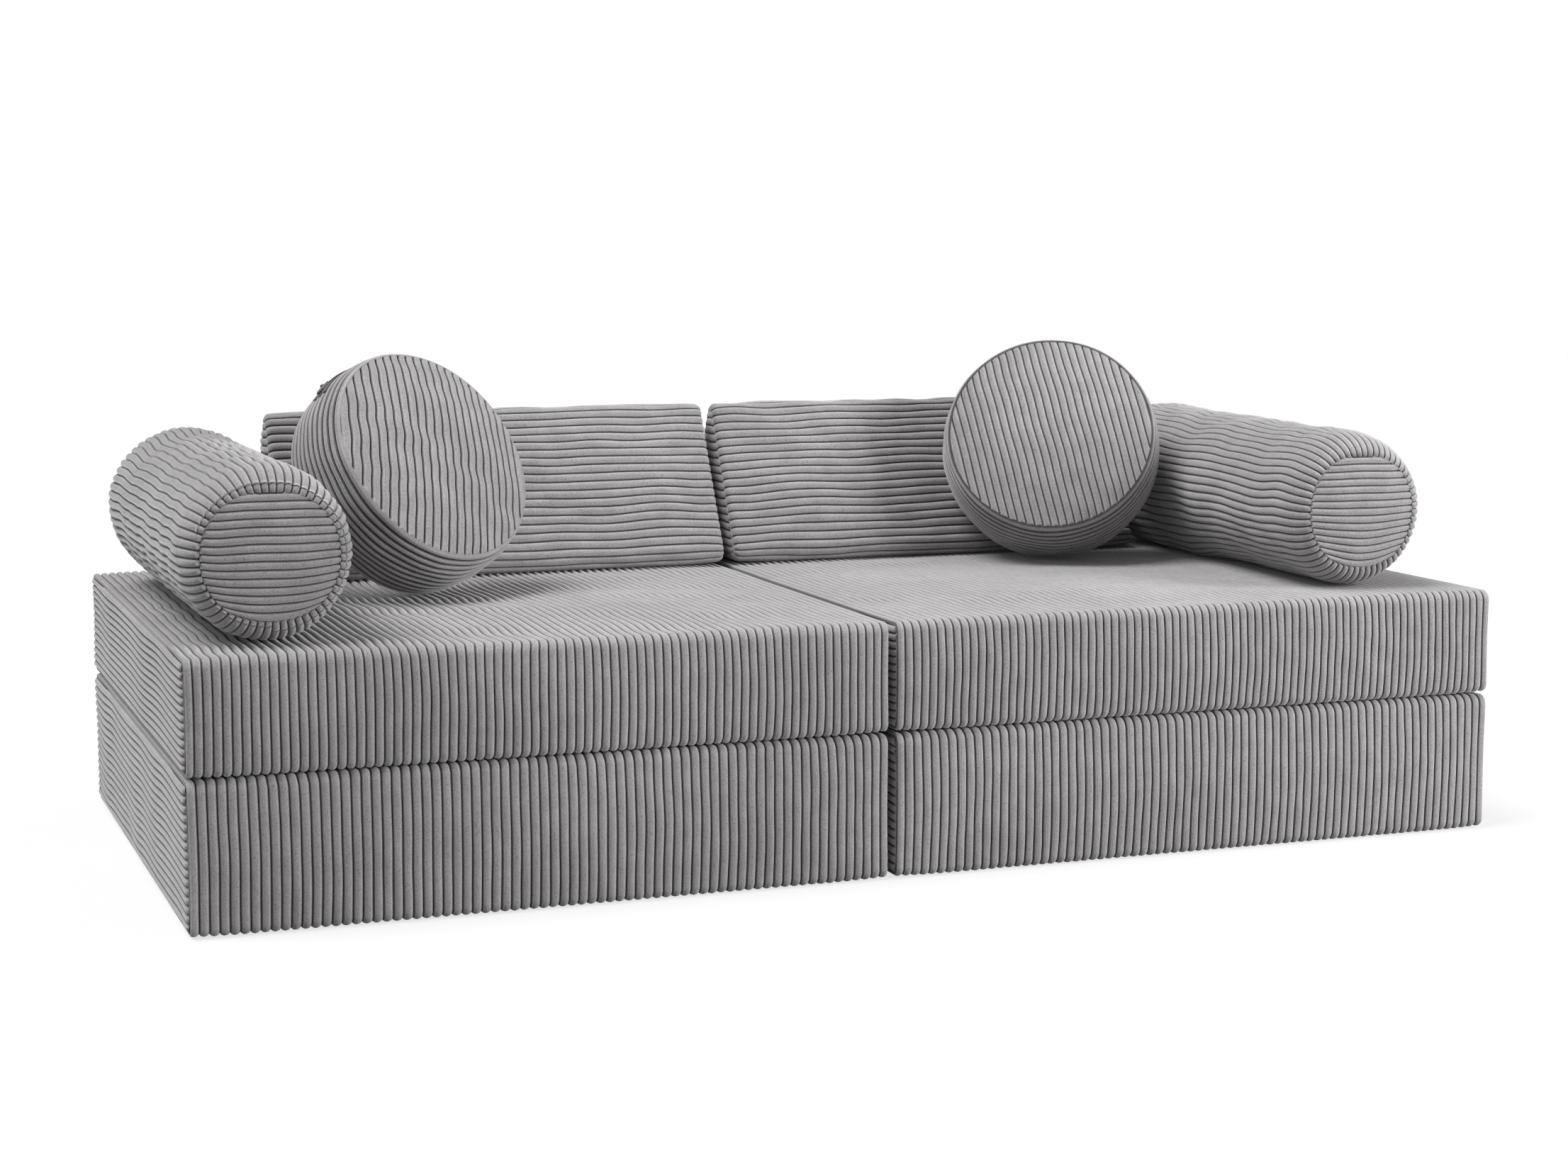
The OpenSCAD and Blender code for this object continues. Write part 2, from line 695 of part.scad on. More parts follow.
module base_left_foam() { color(foam_cream) in_frame() block_core(0, base_h, foam_in); }
module base_left_wadding() { color(wadding_white) in_frame() block_wadding(0, base_h); }
module base_left_cover() { color(corduroy) in_frame() base_shell(); }
module base_left_zip() { color(zip_grey) in_frame() block_back(0, base_h) zip_band(block_zip_l); }
module base_left_slider() {
  color(slider_grey) in_frame() block_back(0, base_h) zip_slider(block_zip_l);
}
module base_right_foam() {
  color(foam_cream) in_frame() on_side(true) block_core(0, base_h, foam_in);
}
module base_right_wadding() {
  color(wadding_white) in_frame() on_side(true) block_wadding(0, base_h);
}
module base_right_cover() { color(corduroy) in_frame() on_side(true) base_shell(); }
module base_right_zip() {
  color(zip_grey) in_frame() on_side(true) block_back(0, base_h) zip_band(block_zip_l);
}
module base_right_slider() {
  color(slider_grey) in_frame() on_side(true) block_back(0, base_h) zip_slider(block_zip_l);
}

module seat_left_foam() { color(foam_cream) in_frame() block_core(seat_z, seat_h, foam_in); }
module seat_left_wadding() { color(wadding_white) in_frame() block_wadding(seat_z, seat_h); }
module seat_left_cover() { color(corduroy) in_frame() seat_shell(); }
module seat_left_zip() {
  color(zip_grey) in_frame() block_back(seat_z, seat_h) zip_band(block_zip_l);
}
module seat_left_slider() {
  color(slider_grey) in_frame() block_back(seat_z, seat_h) zip_slider(block_zip_l);
}
module seat_right_foam() {
  color(foam_cream) in_frame() on_side(true) block_core(seat_z, seat_h, foam_in);
}
module seat_right_wadding() {
  color(wadding_white) in_frame() on_side(true) block_wadding(seat_z, seat_h);
}
module seat_right_cover() { color(corduroy) in_frame() on_side(true) seat_shell(); }
module seat_right_zip() {
  color(zip_grey) in_frame() on_side(true) block_back(seat_z, seat_h) zip_band(block_zip_l);
}
module seat_right_slider() {
  color(slider_grey) in_frame() on_side(true) block_back(seat_z, seat_h) zip_slider(block_zip_l);
}

module wedge_left_foam() {
  color(foam_cream) in_frame() place_wedge(false) wedge_core(wedge_left_l, foam_in);
}
module wedge_left_wadding() {
  color(wadding_white) in_frame() place_wedge(false) wedge_wadding(wedge_left_l);
}
module wedge_left_cover() {
  color(corduroy) in_frame() place_wedge(false) wedge_shell(wedge_left_l);
}
module wedge_left_zip() {
  color(zip_grey) in_frame() place_wedge(false) wedge_back(wedge_left_l) zip_band(wedge_zip_l);
}
module wedge_left_slider() {
  color(slider_grey) in_frame() place_wedge(false) wedge_back(wedge_left_l) zip_slider(wedge_zip_l);
}
module wedge_right_foam() {
  color(foam_cream) in_frame() place_wedge(true) wedge_core(wedge_right_l, foam_in);
}
module wedge_right_wadding() {
  color(wadding_white) in_frame() place_wedge(true) wedge_wadding(wedge_right_l);
}
module wedge_right_cover() {
  color(corduroy) in_frame() place_wedge(true) wedge_shell(wedge_right_l);
}
module wedge_right_zip() {
  color(zip_grey) in_frame() place_wedge(true) wedge_back(wedge_right_l) zip_band(wedge_zip_l);
}
module wedge_right_slider() {
  color(slider_grey) in_frame() place_wedge(true) wedge_back(wedge_right_l) zip_slider(wedge_zip_l);
}

module bolster_left_foam() {
  color(foam_cream) in_frame() place_bolster(false) bolster_room(round_foam_in);
}
module bolster_left_wadding() { color(wadding_white) in_frame() place_bolster(false) bolster_wadding(); }
module bolster_left_cover() { color(corduroy) in_frame() place_bolster(false) bolster_shell(); }
module bolster_left_zip() {
  color(zip_grey) in_frame() place_bolster(false) bolster_flank() zip_band(bolster_zip_l);
}
module bolster_left_slider() {
  color(slider_grey) in_frame() place_bolster(false) bolster_flank() zip_slider(bolster_zip_l);
}
module bolster_right_foam() {
  color(foam_cream) in_frame() place_bolster(true) bolster_room(round_foam_in);
}
module bolster_right_wadding() { color(wadding_white) in_frame() place_bolster(true) bolster_wadding(); }
module bolster_right_cover() { color(corduroy) in_frame() place_bolster(true) bolster_shell(); }
module bolster_right_zip() {
  color(zip_grey) in_frame() place_bolster(true) bolster_flank() zip_band(bolster_zip_l);
}
module bolster_right_slider() {
  color(slider_grey) in_frame() place_bolster(true) bolster_flank() zip_slider(bolster_zip_l);
}

module disc_left_foam() { color(foam_cream) in_frame() place_disc(false) disc_room(round_foam_in); }
module disc_left_wadding() { color(wadding_white) in_frame() place_disc(false) disc_wadding(); }
module disc_left_cover() { color(corduroy) in_frame() place_disc(false) disc_shell(); }
module disc_left_zip() { color(zip_grey) in_frame() place_disc(false) disc_zip_band(); }
module disc_left_slider() { color(slider_grey) in_frame() place_disc(false) disc_zip_slider(); }
module disc_right_foam() { color(foam_cream) in_frame() place_disc(true) disc_room(round_foam_in); }
module disc_right_wadding() { color(wadding_white) in_frame() place_disc(true) disc_wadding(); }
module disc_right_cover() { color(corduroy) in_frame() place_disc(true) disc_shell(); }
module disc_right_zip() { color(zip_grey) in_frame() place_disc(true) disc_zip_band(); }
module disc_right_slider() { color(slider_grey) in_frame() place_disc(true) disc_zip_slider(); }

base_left_foam();
base_left_wadding();
base_left_cover();
base_left_zip();
base_left_slider();
base_right_foam();
base_right_wadding();
base_right_cover();
base_right_zip();
base_right_slider();
seat_left_foam();
seat_left_wadding();
seat_left_cover();
seat_left_zip();
seat_left_slider();
seat_right_foam();
seat_right_wadding();
seat_right_cover();
seat_right_zip();
seat_right_slider();
wedge_left_foam();
wedge_left_wadding();
wedge_left_cover();
wedge_left_zip();
wedge_left_slider();
wedge_right_foam();
wedge_right_wadding();
wedge_right_cover();
wedge_right_zip();
wedge_right_slider();
bolster_left_foam();
bolster_left_wadding();
bolster_left_cover();
bolster_left_zip();
bolster_left_slider();
bolster_right_foam();
bolster_right_wadding();
bolster_right_cover();
bolster_right_zip();
bolster_right_slider();
disc_left_foam();
disc_left_wadding();
disc_left_cover();
disc_left_zip();
disc_left_slider();
disc_right_foam();
disc_right_wadding();
disc_right_cover();
disc_right_zip();
disc_right_slider();
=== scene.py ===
"""A play sofa of loose foam cushions in wide-rib corduroy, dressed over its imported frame.

Every cushion is one closed skin of corduroy: a ribbed wrap and two ribbed end panels that
are sewn together. Sizes are in millimetres in a cushion's own frame, and the finished
skin is moved to its place in metres.
"""

import logging
import math
from dataclasses import dataclass, field
from enum import Enum
from typing import Callable, Optional

import bmesh
import bpy
import numpy as np
from mathutils import Matrix, Vector


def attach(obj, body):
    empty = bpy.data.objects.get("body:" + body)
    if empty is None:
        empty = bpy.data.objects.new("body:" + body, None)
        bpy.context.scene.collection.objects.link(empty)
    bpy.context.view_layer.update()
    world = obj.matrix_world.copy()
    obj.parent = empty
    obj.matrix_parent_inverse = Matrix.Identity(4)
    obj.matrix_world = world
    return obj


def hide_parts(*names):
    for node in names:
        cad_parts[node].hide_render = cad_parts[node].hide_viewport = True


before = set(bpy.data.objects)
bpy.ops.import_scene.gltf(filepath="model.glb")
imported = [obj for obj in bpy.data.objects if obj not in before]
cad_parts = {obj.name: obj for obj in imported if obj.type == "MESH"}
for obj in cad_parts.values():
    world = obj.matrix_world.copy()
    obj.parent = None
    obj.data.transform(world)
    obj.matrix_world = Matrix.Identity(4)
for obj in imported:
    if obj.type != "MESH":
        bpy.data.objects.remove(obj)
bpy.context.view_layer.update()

LOG = logging.getLogger("sofa")
MM = 0.001
# Strength and width, in millimetres, of the painted shade along the seams.
SEAM_SHADE = 0.18
SEAM_WIDTH = 1.5
ZIP_FURROW = 0.2
WHITE = (1.0, 1.0, 1.0, 1.0)

Array = np.ndarray


class Side(Enum):
    """The half of the sofa that a cushion belongs to, with its sign along X."""

    LEFT = -1
    RIGHT = 1

    @property
    def word(self) -> str:
        """The side as it stands in a node's name."""
        return self.name.lower()


class Tier(Enum):
    """The two layers of flat blocks."""

    BASE = "base"
    SEAT = "seat"


class Sheet(Enum):
    """The parts of a cushion's skin."""

    WRAP = 0
    NEAR = 1
    FAR = 2


# Shared shape helpers


def deselect() -> None:
    """Leaves nothing selected."""
    if bpy.context.object and bpy.context.object.mode != "OBJECT":
        bpy.ops.object.mode_set(mode="OBJECT")
    bpy.ops.object.select_all(action="DESELECT")


def pick(obj: bpy.types.Object) -> None:
    """Makes one object the selected and active one."""
    deselect()
    obj.select_set(True)
    bpy.context.view_layer.objects.active = obj


def coordinates(mesh: bpy.types.Mesh) -> Array:
    """The places of a mesh's points, one row each."""
    co = np.empty(len(mesh.vertices) * 3)
    mesh.vertices.foreach_get("co", co)
    return co.reshape(-1, 3)


def set_coordinates(mesh: bpy.types.Mesh, co: Array) -> None:
    """Moves a mesh's points to the given places."""
    mesh.vertices.foreach_set("co", co.astype(np.float32).ravel())
    mesh.update()


def ease(share: Array) -> Array:
    """A smooth step from 0 to 1 over shares from 0 to 1."""
    s = np.clip(share, 0, 1)
    return s * s * (3 - 2 * s)


def rise(distance: Array, reach: float, power: float = 2.4) -> Array:
    """The share of its full height that padding has at a distance from a seam."""
    return 1 - (1 - np.clip(np.asarray(distance) / reach, 0, 1)) ** power


def arc(centre: tuple, radius: float, start: float, end: float, steps: int) -> Array:
    """Points of a rolled edge as rows of y, z, normal y, normal z, crown y, crown z.

    Args:
        centre: Middle of the roll.
        radius: Radius of the roll.
        start: First angle in degrees.
        end: Last angle in degrees.
        steps: Number of steps between them.

    Returns:
        One row for each point, both ends included.
    """
    a = np.radians(np.linspace(start, end, steps + 1))
    c, s = np.cos(a), np.sin(a)
    zero = np.zeros_like(a)
    return np.stack([centre[0] + radius * c, centre[1] + radius * s, c, s, zero, zero], axis=1)


def flat(start: tuple, end: tuple, angle: float, crown: float, shares: Array) -> Array:
    """Points of a crowned face between two rolls, as rows like those of arc.

    Args:
        start: Where the face begins.
        end: Where it ends.
        angle: Direction of its normal in degrees.
        crown: Height of its crown.
        shares: Places of the points along the face, from 0 to 1.

    Returns:
        One row for each share.
    """
    t = np.asarray(shares, float)[:, None]
    place = np.array(start) * (1 - t) + np.array(end) * t
    normal = np.array([math.cos(math.radians(angle)), math.sin(math.radians(angle))])
    lift = crown * (1 - (2 * t - 1) ** 2)
    return np.hstack([place, np.tile(normal, (len(t), 1)), lift * normal])


def both_sides(edge: float, step: float) -> Array:
    """Places at both ends of a zip's channel, each with a second place a step further in."""
    return np.array([-edge, step - edge, edge - step, edge])


def chord_ends(outline: Array, heights: Array) -> tuple[Array, Array]:
    """Where lines across a convex outline begin and end.

    Args:
        outline: Closed outline as rows of along, across.
        heights: Places across at which the lines lie.

    Returns:
        The lowest and the highest place along, for each height.
    """
    low, high = int(outline[:, 1].argmin()), int(outline[:, 1].argmax())
    loop = np.roll(outline, -low, axis=0)
    top = (high - low) % len(outline)
    up = loop[: top + 1]
    down = np.vstack([loop[top:], loop[:1]])[::-1]
    first = np.interp(heights, up[:, 1], up[:, 0])
    second = np.interp(heights, down[:, 1], down[:, 0])
    return np.minimum(first, second), np.maximum(first, second)


def surface_normals(points: Array, around: bool, outward: Array) -> Array:
    """Unit normals of a grid of points.

    Args:
        points: Grid as rows, columns, 3.
        around: True if the rows close on themselves.
        outward: A point inside the cushion, which the normals point away from.

    Returns:
        A grid of normals of the same shape.
    """
    if around:
        padded = np.concatenate([points[-2:-1], points, points[1:2]])
        down = padded[2:] - padded[:-2]
    else:
        down = np.gradient(points, axis=0)
    over = np.gradient(points, axis=1)
    normal = np.cross(down, over)
    normal /= np.maximum(np.linalg.norm(normal, axis=2, keepdims=True), 1e-9)
    facing = ((points - outward) * normal).sum(axis=2).mean()
    return normal if facing > 0 else -normal


@dataclass(frozen=True)
class Ripple:
    """Smooth seeded unevenness of cloth, as a sum of slow waves."""

    seed: int
    size: float
    length: float
    width: float
    waves: int = 7

    def at(self, across: Array, along: Array) -> Array:
        """The unevenness at places on the cloth.

        Args:
            across: Places across the ribs.
            along: Places along the ribs.

        Returns:
            One value for each place.
        """
        dice = np.random.default_rng(self.seed)
        total = np.zeros(np.broadcast(across, along).shape)
        for _ in range(self.waves):
            pitch_along = 2 * math.pi / (self.length * dice.uniform(0.7, 1.6))
            pitch_across = 2 * math.pi / (self.width * dice.uniform(0.7, 2.5))
            phase = dice.uniform(0, 2 * math.pi)
            side = dice.choice([-1, 1])
            total += np.sin(along * pitch_along + side * across * pitch_across + phase)
        return self.size * total / math.sqrt(self.waves / 2)


@dataclass(frozen=True)
class Wale:
    """Cross-section of the corduroy: broad rounded ribs between narrow furrows."""

    depth: float = 4.0
    fullness: float = 2.1
    steepness: float = 1.75
    steps: tuple = (0.0, 0.04, 0.10, 0.19, 0.32, 0.50, 0.68, 0.81, 0.90, 0.96)

    def columns(self, ribs: int) -> tuple[Array, Array]:
        """Places of a sheet's columns across its ribs.

        Args:
            ribs: Number of ribs side by side.

        Returns:
            Shares of the sheet's width, and how far each column lies from its rib's
            middle, from 0 to 1 in the furrow.
        """
        place = np.array([rib + step for rib in range(ribs) for step in self.steps] + [ribs])
        return place / ribs, np.abs(2 * (place % 1.0) - 1)

    def sink(self, furrow: Array) -> Array:
        """Depth of the pile under a rib's middle."""
        return self.depth * (1 - (1 - np.clip(furrow, 0, 1) ** self.fullness) ** (1 / self.steepness))


@dataclass
class Cloth:
    """One ribbed sheet of a skin as a grid of points."""

    part: Sheet
    points: Array
    # The furrow and seam masks lead the material's painted shade and painted sheen.
    furrow: Array
    seam: Array
    spread: Array
    around: bool = False

    def lay(self) -> bpy.types.Object:
        """Adds the sheet as a mesh grid and shapes it.

        Returns:
            The sheet's object, still open at its seams.
        """
        rows, cols = self.points.shape[:2]
        deselect()
        bpy.ops.mesh.primitive_grid_add(x_subdivisions=cols - 1, y_subdivisions=rows - 1, size=1)
        sheet = bpy.context.object
        set_coordinates(sheet.data, self.points.reshape(-1, 3))
        self.mark(sheet.data)
        if self.around:
            bpy.ops.object.mode_set(mode="EDIT")
            bpy.ops.mesh.select_all(action="SELECT")
            bpy.ops.mesh.remove_doubles(threshold=0.0005)
            bpy.ops.object.mode_set(mode="OBJECT")
        return sheet

    def mark(self, mesh: bpy.types.Mesh) -> None:
        """Writes the furrows, seams and cloth coordinates on the sheet, whose furrow and seam masks
        lead the material's painted shade and painted sheen.

        Args:
            mesh: The sheet's mesh, with a point for each place of the grid.
        """
        for name, values in (("furrow", self.furrow), ("seam", self.seam)):
            layer = mesh.attributes.new(name, "FLOAT", "POINT")
            layer.data.foreach_set("value", np.ascontiguousarray(values, np.float32).ravel())
        layer = mesh.attributes.new("part", "INT", "POINT")
        layer.data.foreach_set("value", np.full(len(mesh.vertices), self.part.value, np.int32))
        corners = np.empty(len(mesh.loops), np.int32)
        mesh.loops.foreach_get("vertex_index", corners)
        flat_cloth = (self.spread.reshape(-1, 2) * MM)[corners]
        mesh.uv_layers.active.data.foreach_set("uv", flat_cloth.astype(np.float32).ravel())


def loop_by_angle(bm: bmesh.types.BMesh, part: Sheet, near: bool, axis: int) -> list:
    """The open edge of a sheet as points in order round the cushion's axis.

    Args:
        bm: Mesh of the joined sheets.
        part: Sheet whose edge is wanted.
        near: True for the end where the axis is negative.
        axis: Number of the cushion's axis.

    Returns:
        Pairs of angle and point, by rising angle.
    """
    layer = bm.verts.layers.int["part"]
    a, b = [i for i in range(3) if i != axis]
    found = [
        v for v in bm.verts
        if v.is_boundary and v[layer] == part.value and (v.co[axis] < 0) == near
    ]
    middle = sum((v.co for v in found), Vector()) / len(found)
    return sorted(
        ((math.atan2(v.co[b] - middle[b], v.co[a] - middle[a]), v) for v in found),
        key=lambda pair: pair[0],
    )


def sew(bm: bmesh.types.BMesh, first: list, second: list) -> None:
    """Closes the seam between two open edges with a strip of small faces.

    Args:
        bm: Mesh of the joined sheets.
        first: One edge, as pairs of angle and point.
        second: The other edge.
    """
    turn = 2 * math.pi
    i = j = 0
    while i < len(first) or j < len(second):
        next_i = first[(i + 1) % len(first)][0] + turn * ((i + 1) // len(first))
        next_j = second[(j + 1) % len(second)][0] + turn * ((j + 1) // len(second))
        here, there = first[i % len(first)][1], second[j % len(second)][1]
        if i < len(first) and (j >= len(second) or next_i <= next_j):
            corners = (here, first[(i + 1) % len(first)][1], there)
            i += 1
        else:
            corners = (here, second[(j + 1) % len(second)][1], there)
            j += 1
        bm.faces.new(corners).smooth = True


# Finishes


@dataclass(frozen=True)
class Tone:
    """A colour in linear light."""

    red: float
    green: float
    blue: float

    @staticmethod
    def grey(level: float) -> "Tone":
        """A grey of a level from 0 to 1, as it is seen on a screen."""
        linear = ((level + 0.055) / 1.055) ** 2.4 if level > 0.04045 else level / 12.92
        return Tone(linear, linear, linear)

    @staticmethod
    def cloth(level: float) -> "Tone":
        """The slightly warm grey of the cloth, of a level from 0 to 1."""
        plain = Tone.grey(level).red
        return Tone(plain * 1.02, plain * 0.985, plain)

    def rgba(self) -> tuple:
        """The colour with full cover, for a socket."""
        return (self.red, self.green, self.blue, 1.0)


class NodeTable:
    """Makes the nodes and links of one node tree."""

    def __init__(self, tree: bpy.types.NodeTree) -> None:
        """Starts on a tree."""
        self.tree = tree
        self.count = 0
        self.place_socket: Optional[bpy.types.NodeSocket] = None

    def add(self, kind: str, settings: Optional[dict] = None, **inputs: object) -> bpy.types.Node:
        """Adds a node.

        Args:
            kind: Blender's name of the node type.
            settings: Properties of the node.
            **inputs: Values or linked sockets by input name, with _ for a space, or
                by number as in_0.

        Returns:
            The new node.
        """
        node = self.tree.nodes.new(kind)
        node.location = (220 * (self.count % 8), -260 * (self.count // 8))
        self.count += 1
        for key, value in (settings or {}).items():
            setattr(node, key, value)
        for key, value in inputs.items():
            label = int(key[3:]) if key.startswith("in_") else key.replace("_", " ")
            socket = node.inputs[label]
            if isinstance(value, bpy.types.NodeSocket):
                self.tree.links.new(value, socket)
            else:
                socket.default_value = value
        return node

    def math(self, operation: str, a: object, b: object) -> bpy.types.NodeSocket:
        """Adds a number worked out from two others.

        Args:
            operation: Name of the operation.
            a: First number or socket.
            b: Second number or socket.

        Returns:
            The result's socket.
        """
        return self.add("ShaderNodeMath", {"operation": operation}, in_0=a, in_1=b).outputs[0]

    def noise(self, scale: object, detail: float = 2.0, roughness: float = 0.5) -> bpy.types.NodeSocket:
        """Adds noise fixed to the object.

        Args:
            scale: Number of its patches in a metre.
            detail: Number of finer layers.
            roughness: Strength of the finer layers.

        Returns:
            The noise's socket.
        """
        node = self.add(
            "ShaderNodeTexNoise", Vector=self.place(),
            Scale=scale, Detail=detail, Roughness=roughness,
        )
        return node.outputs[0]

    def place(self) -> bpy.types.NodeSocket:
        """The place on the object, from one node for the whole tree."""
        if self.place_socket is None:
            self.place_socket = self.add("ShaderNodeTexCoord").outputs["Object"]
        return self.place_socket

    def seen(self) -> bpy.types.NodeSocket:
        """Adds a mask of the rays that the camera sees directly or in a reflection."""
        light = self.add("ShaderNodeLightPath").outputs
        return self.math("MAXIMUM", light["Is Camera Ray"], light["Is Glossy Ray"])

    def end(self, shader: bpy.types.Node, kind: str = "Material") -> None:
        """Leads a shader to the tree's output."""
        out = self.add(f"ShaderNodeOutput{kind}")
        self.tree.links.new(shader.outputs[0], out.inputs[0])

    def mix(self, factor: object, a: object, b: object, blend: str = "MIX") -> bpy.types.NodeSocket:
        """Adds a mix of two colours.

        Args:
            factor: Share of the second colour.
            a: First colour.
            b: Second colour.
            blend: How the second colour is laid on the first.

        Returns:
            The mixed colour's socket.
        """
        settings = {"data_type": "RGBA", "blend_type": blend}
        return self.add("ShaderNodeMix", settings, in_0=factor, in_6=a, in_7=b).outputs[2]

    def ramp(self, value: object, stops: list) -> bpy.types.NodeSocket:
        """Adds a smooth curve through grey levels.

        Args:
            value: Number or socket to read.
            stops: Pairs of place and level, by rising place.

        Returns:
            The level's socket.
        """
        node = self.add("ShaderNodeValToRGB", Fac=value)
        ramp = node.color_ramp
        ramp.interpolation = "EASE"
        while len(ramp.elements) < len(stops):
            ramp.elements.new(0.5)
        for element, (place, level) in zip(ramp.elements, stops):
            element.position = place
            element.color = (level, level, level, 1.0)
        return node.outputs[0]


def new_material(name: str) -> tuple[bpy.types.Material, NodeTable]:
    """Starts an empty material.

    Args:
        name: Name of the material.

    Returns:
        The material and its node table.
    """
    made = bpy.data.materials.new(name)
    made.use_nodes = True
    made.node_tree.nodes.clear()
    return made, NodeTable(made.node_tree)


def new_group(name: str, inputs: list, outputs: list) -> tuple:
    """Starts a shader node group with named sockets.

    Args:
        name: Name of the group.
        inputs: Tuples of name, socket type and default.
        outputs: Pairs of name and socket type.

    Returns:
        The group, its node table, its input node and its output node.
    """
    group = bpy.data.node_groups.new(name, "ShaderNodeTree")
    for label, kind, value in inputs:
        socket = group.interface.new_socket(label, in_out="INPUT", socket_type=kind)
        if value is not None:
            socket.default_value = value
    for label, kind in outputs:
        group.interface.new_socket(label, in_out="OUTPUT", socket_type=kind)
    table = NodeTable(group)
    return group, table, table.add("NodeGroupInput"), table.add("NodeGroupOutput")


class PileGroup:
    """Node group for cloth pile: fine fuzz, soft patches and a brushed bump."""

    def __init__(self) -> None:
        """Builds the group once."""
        group, t, enter, leave = new_group(
            "pile",
            [("Grain", "NodeSocketFloat", 700.0), ("Patch", "NodeSocketFloat", 5.0)],
            [(label, "NodeSocketFloat") for label in ("Speckle", "Patches", "Nap")],
        )
        grain, patch = enter.outputs["Grain"], enter.outputs["Patch"]
        fine = t.math("MULTIPLY", t.noise(grain, 2.0, 0.62), 0.65)
        finer = t.math("MULTIPLY", t.noise(t.math("MULTIPLY", grain, 2.3), 1.0), 0.35)
        for label, value in (
            ("Speckle", t.math("ADD", fine, finer)),
            ("Patches", t.noise(patch, 3.0, 0.55)),
            ("Nap", t.noise(t.math("MULTIPLY", patch, 9.0))),
        ):
            t.tree.links.new(value, leave.inputs[label])
        self.group = group


@dataclass(frozen=True)
class CorduroyFinish:
    """Brushed wide-rib corduroy in warm mid grey, with painted shade in its furrows and along its seams
    and a painted sheen on the flanks of its ribs.
    """

    body: Tone = field(default_factory=lambda: Tone.cloth(0.63))
    # Painted shade colour for the furrows and seams.
    deep: Tone = field(default_factory=lambda: Tone.cloth(0.18))
    # Painted sheen colour for the flanks of the ribs.
    tips: Tone = field(default_factory=lambda: Tone.cloth(0.71))
    grain: float = 620.0
    roughness: float = 0.95
    sheen: float = 0.65
    fuzz_height: float = 0.0005

    def material(self, pile: PileGroup) -> bpy.types.Material:
        """Builds the corduroy's material.

        Args:
            pile: The shared node group of cloth pile.

        Returns:
            The material.
        """
        made, t = new_material("corduroy")
        furrow, seam = (
            t.add("ShaderNodeAttribute", {"attribute_name": name}).outputs["Fac"]
            for name in ("furrow", "seam")
        )
        fuzz = t.add("ShaderNodeGroup", {"node_tree": pile.group}, Grain=self.grain, Patch=4.5)
        speckle, patches, nap = (fuzz.outputs[n] for n in ("Speckle", "Patches", "Nap"))
        # Painted sheen: the flanks of each rib are lightened towards the sheen colour.
        edge = t.ramp(furrow, [(0.30, 0.0), (0.66, 1.0), (0.80, 0.0)])
        # Painted shade: the furrows darken towards the shade colour.
        painted_furrow_shade = t.ramp(furrow, [(0.64, 0.0), (0.84, 0.55), (0.97, 1.0)])
        tone = t.mix(t.math("MULTIPLY", edge, 0.75), self.body.rgba(), self.tips.rgba())
        tone = t.mix(painted_furrow_shade, tone, self.deep.rgba())
        # Painted shade along the seams.
        tone = t.mix(seam, tone, self.deep.rgba())
        dots = t.ramp(speckle, [(0.35, 0.50), (0.47, 0.94), (0.66, 1.16)])
        tone = t.mix(0.85, tone, dots, "MULTIPLY")
        for mask, low, high in ((patches, 0.90, 1.06), (nap, 0.94, 1.05)):
            tone = t.mix(1.0, tone, t.ramp(mask, [(0.30, low), (0.70, high)]), "MULTIPLY")
        height = t.math("ADD", speckle, t.math("MULTIPLY", nap, 0.5))
        bump = t.add("ShaderNodeBump", Strength=0.7, Distance=self.fuzz_height, Height=height)
        shader = t.add(
            "ShaderNodeBsdfPrincipled",
            Base_Color=tone, Roughness=self.roughness, Normal=bump.outputs[0],
            Sheen_Weight=self.sheen, Sheen_Roughness=0.45, Specular_IOR_Level=0.15,
        )
        t.end(shader)
        return made


@dataclass(frozen=True)
class ZipFinish:
    """Woven zip tape with its coil teeth."""

    tape: Tone = field(default_factory=lambda: Tone.grey(0.44))
    thread: Tone = field(default_factory=lambda: Tone.grey(0.34))
    threads: float = 260.0

    def material(self, pile: PileGroup) -> bpy.types.Material:
        """Builds the tape's material.

        Args:
            pile: The shared node group of cloth pile.

        Returns:
            The material.
        """
        made, t = new_material("zip_tape")
        warp, weft = (
            t.add(
                "ShaderNodeTexWave", {"bands_direction": way},
                Vector=t.place(), Scale=self.threads, Distortion=0.6,
            ).outputs["Fac"]
            for way in "XZ"
        )
        weave = t.math("MULTIPLY", warp, weft)
        fuzz = t.add("ShaderNodeGroup", {"node_tree": pile.group}, Grain=900.0, Patch=12.0)
        tone = t.mix(weave, self.tape.rgba(), self.thread.rgba())
        tone = t.mix(0.5, tone, t.ramp(fuzz.outputs["Patches"], [(0.3, 0.8), (0.7, 1.1)]), "MULTIPLY")
        rough = t.math("ADD", t.math("MULTIPLY", fuzz.outputs["Speckle"], 0.2), 0.65)
        bump = t.add("ShaderNodeBump", Strength=0.5, Distance=0.0003, Height=weave)
        shader = t.add(
            "ShaderNodeBsdfPrincipled", Base_Color=tone, Roughness=rough, Normal=bump.outputs[0],
        )
        t.end(shader)
        return made


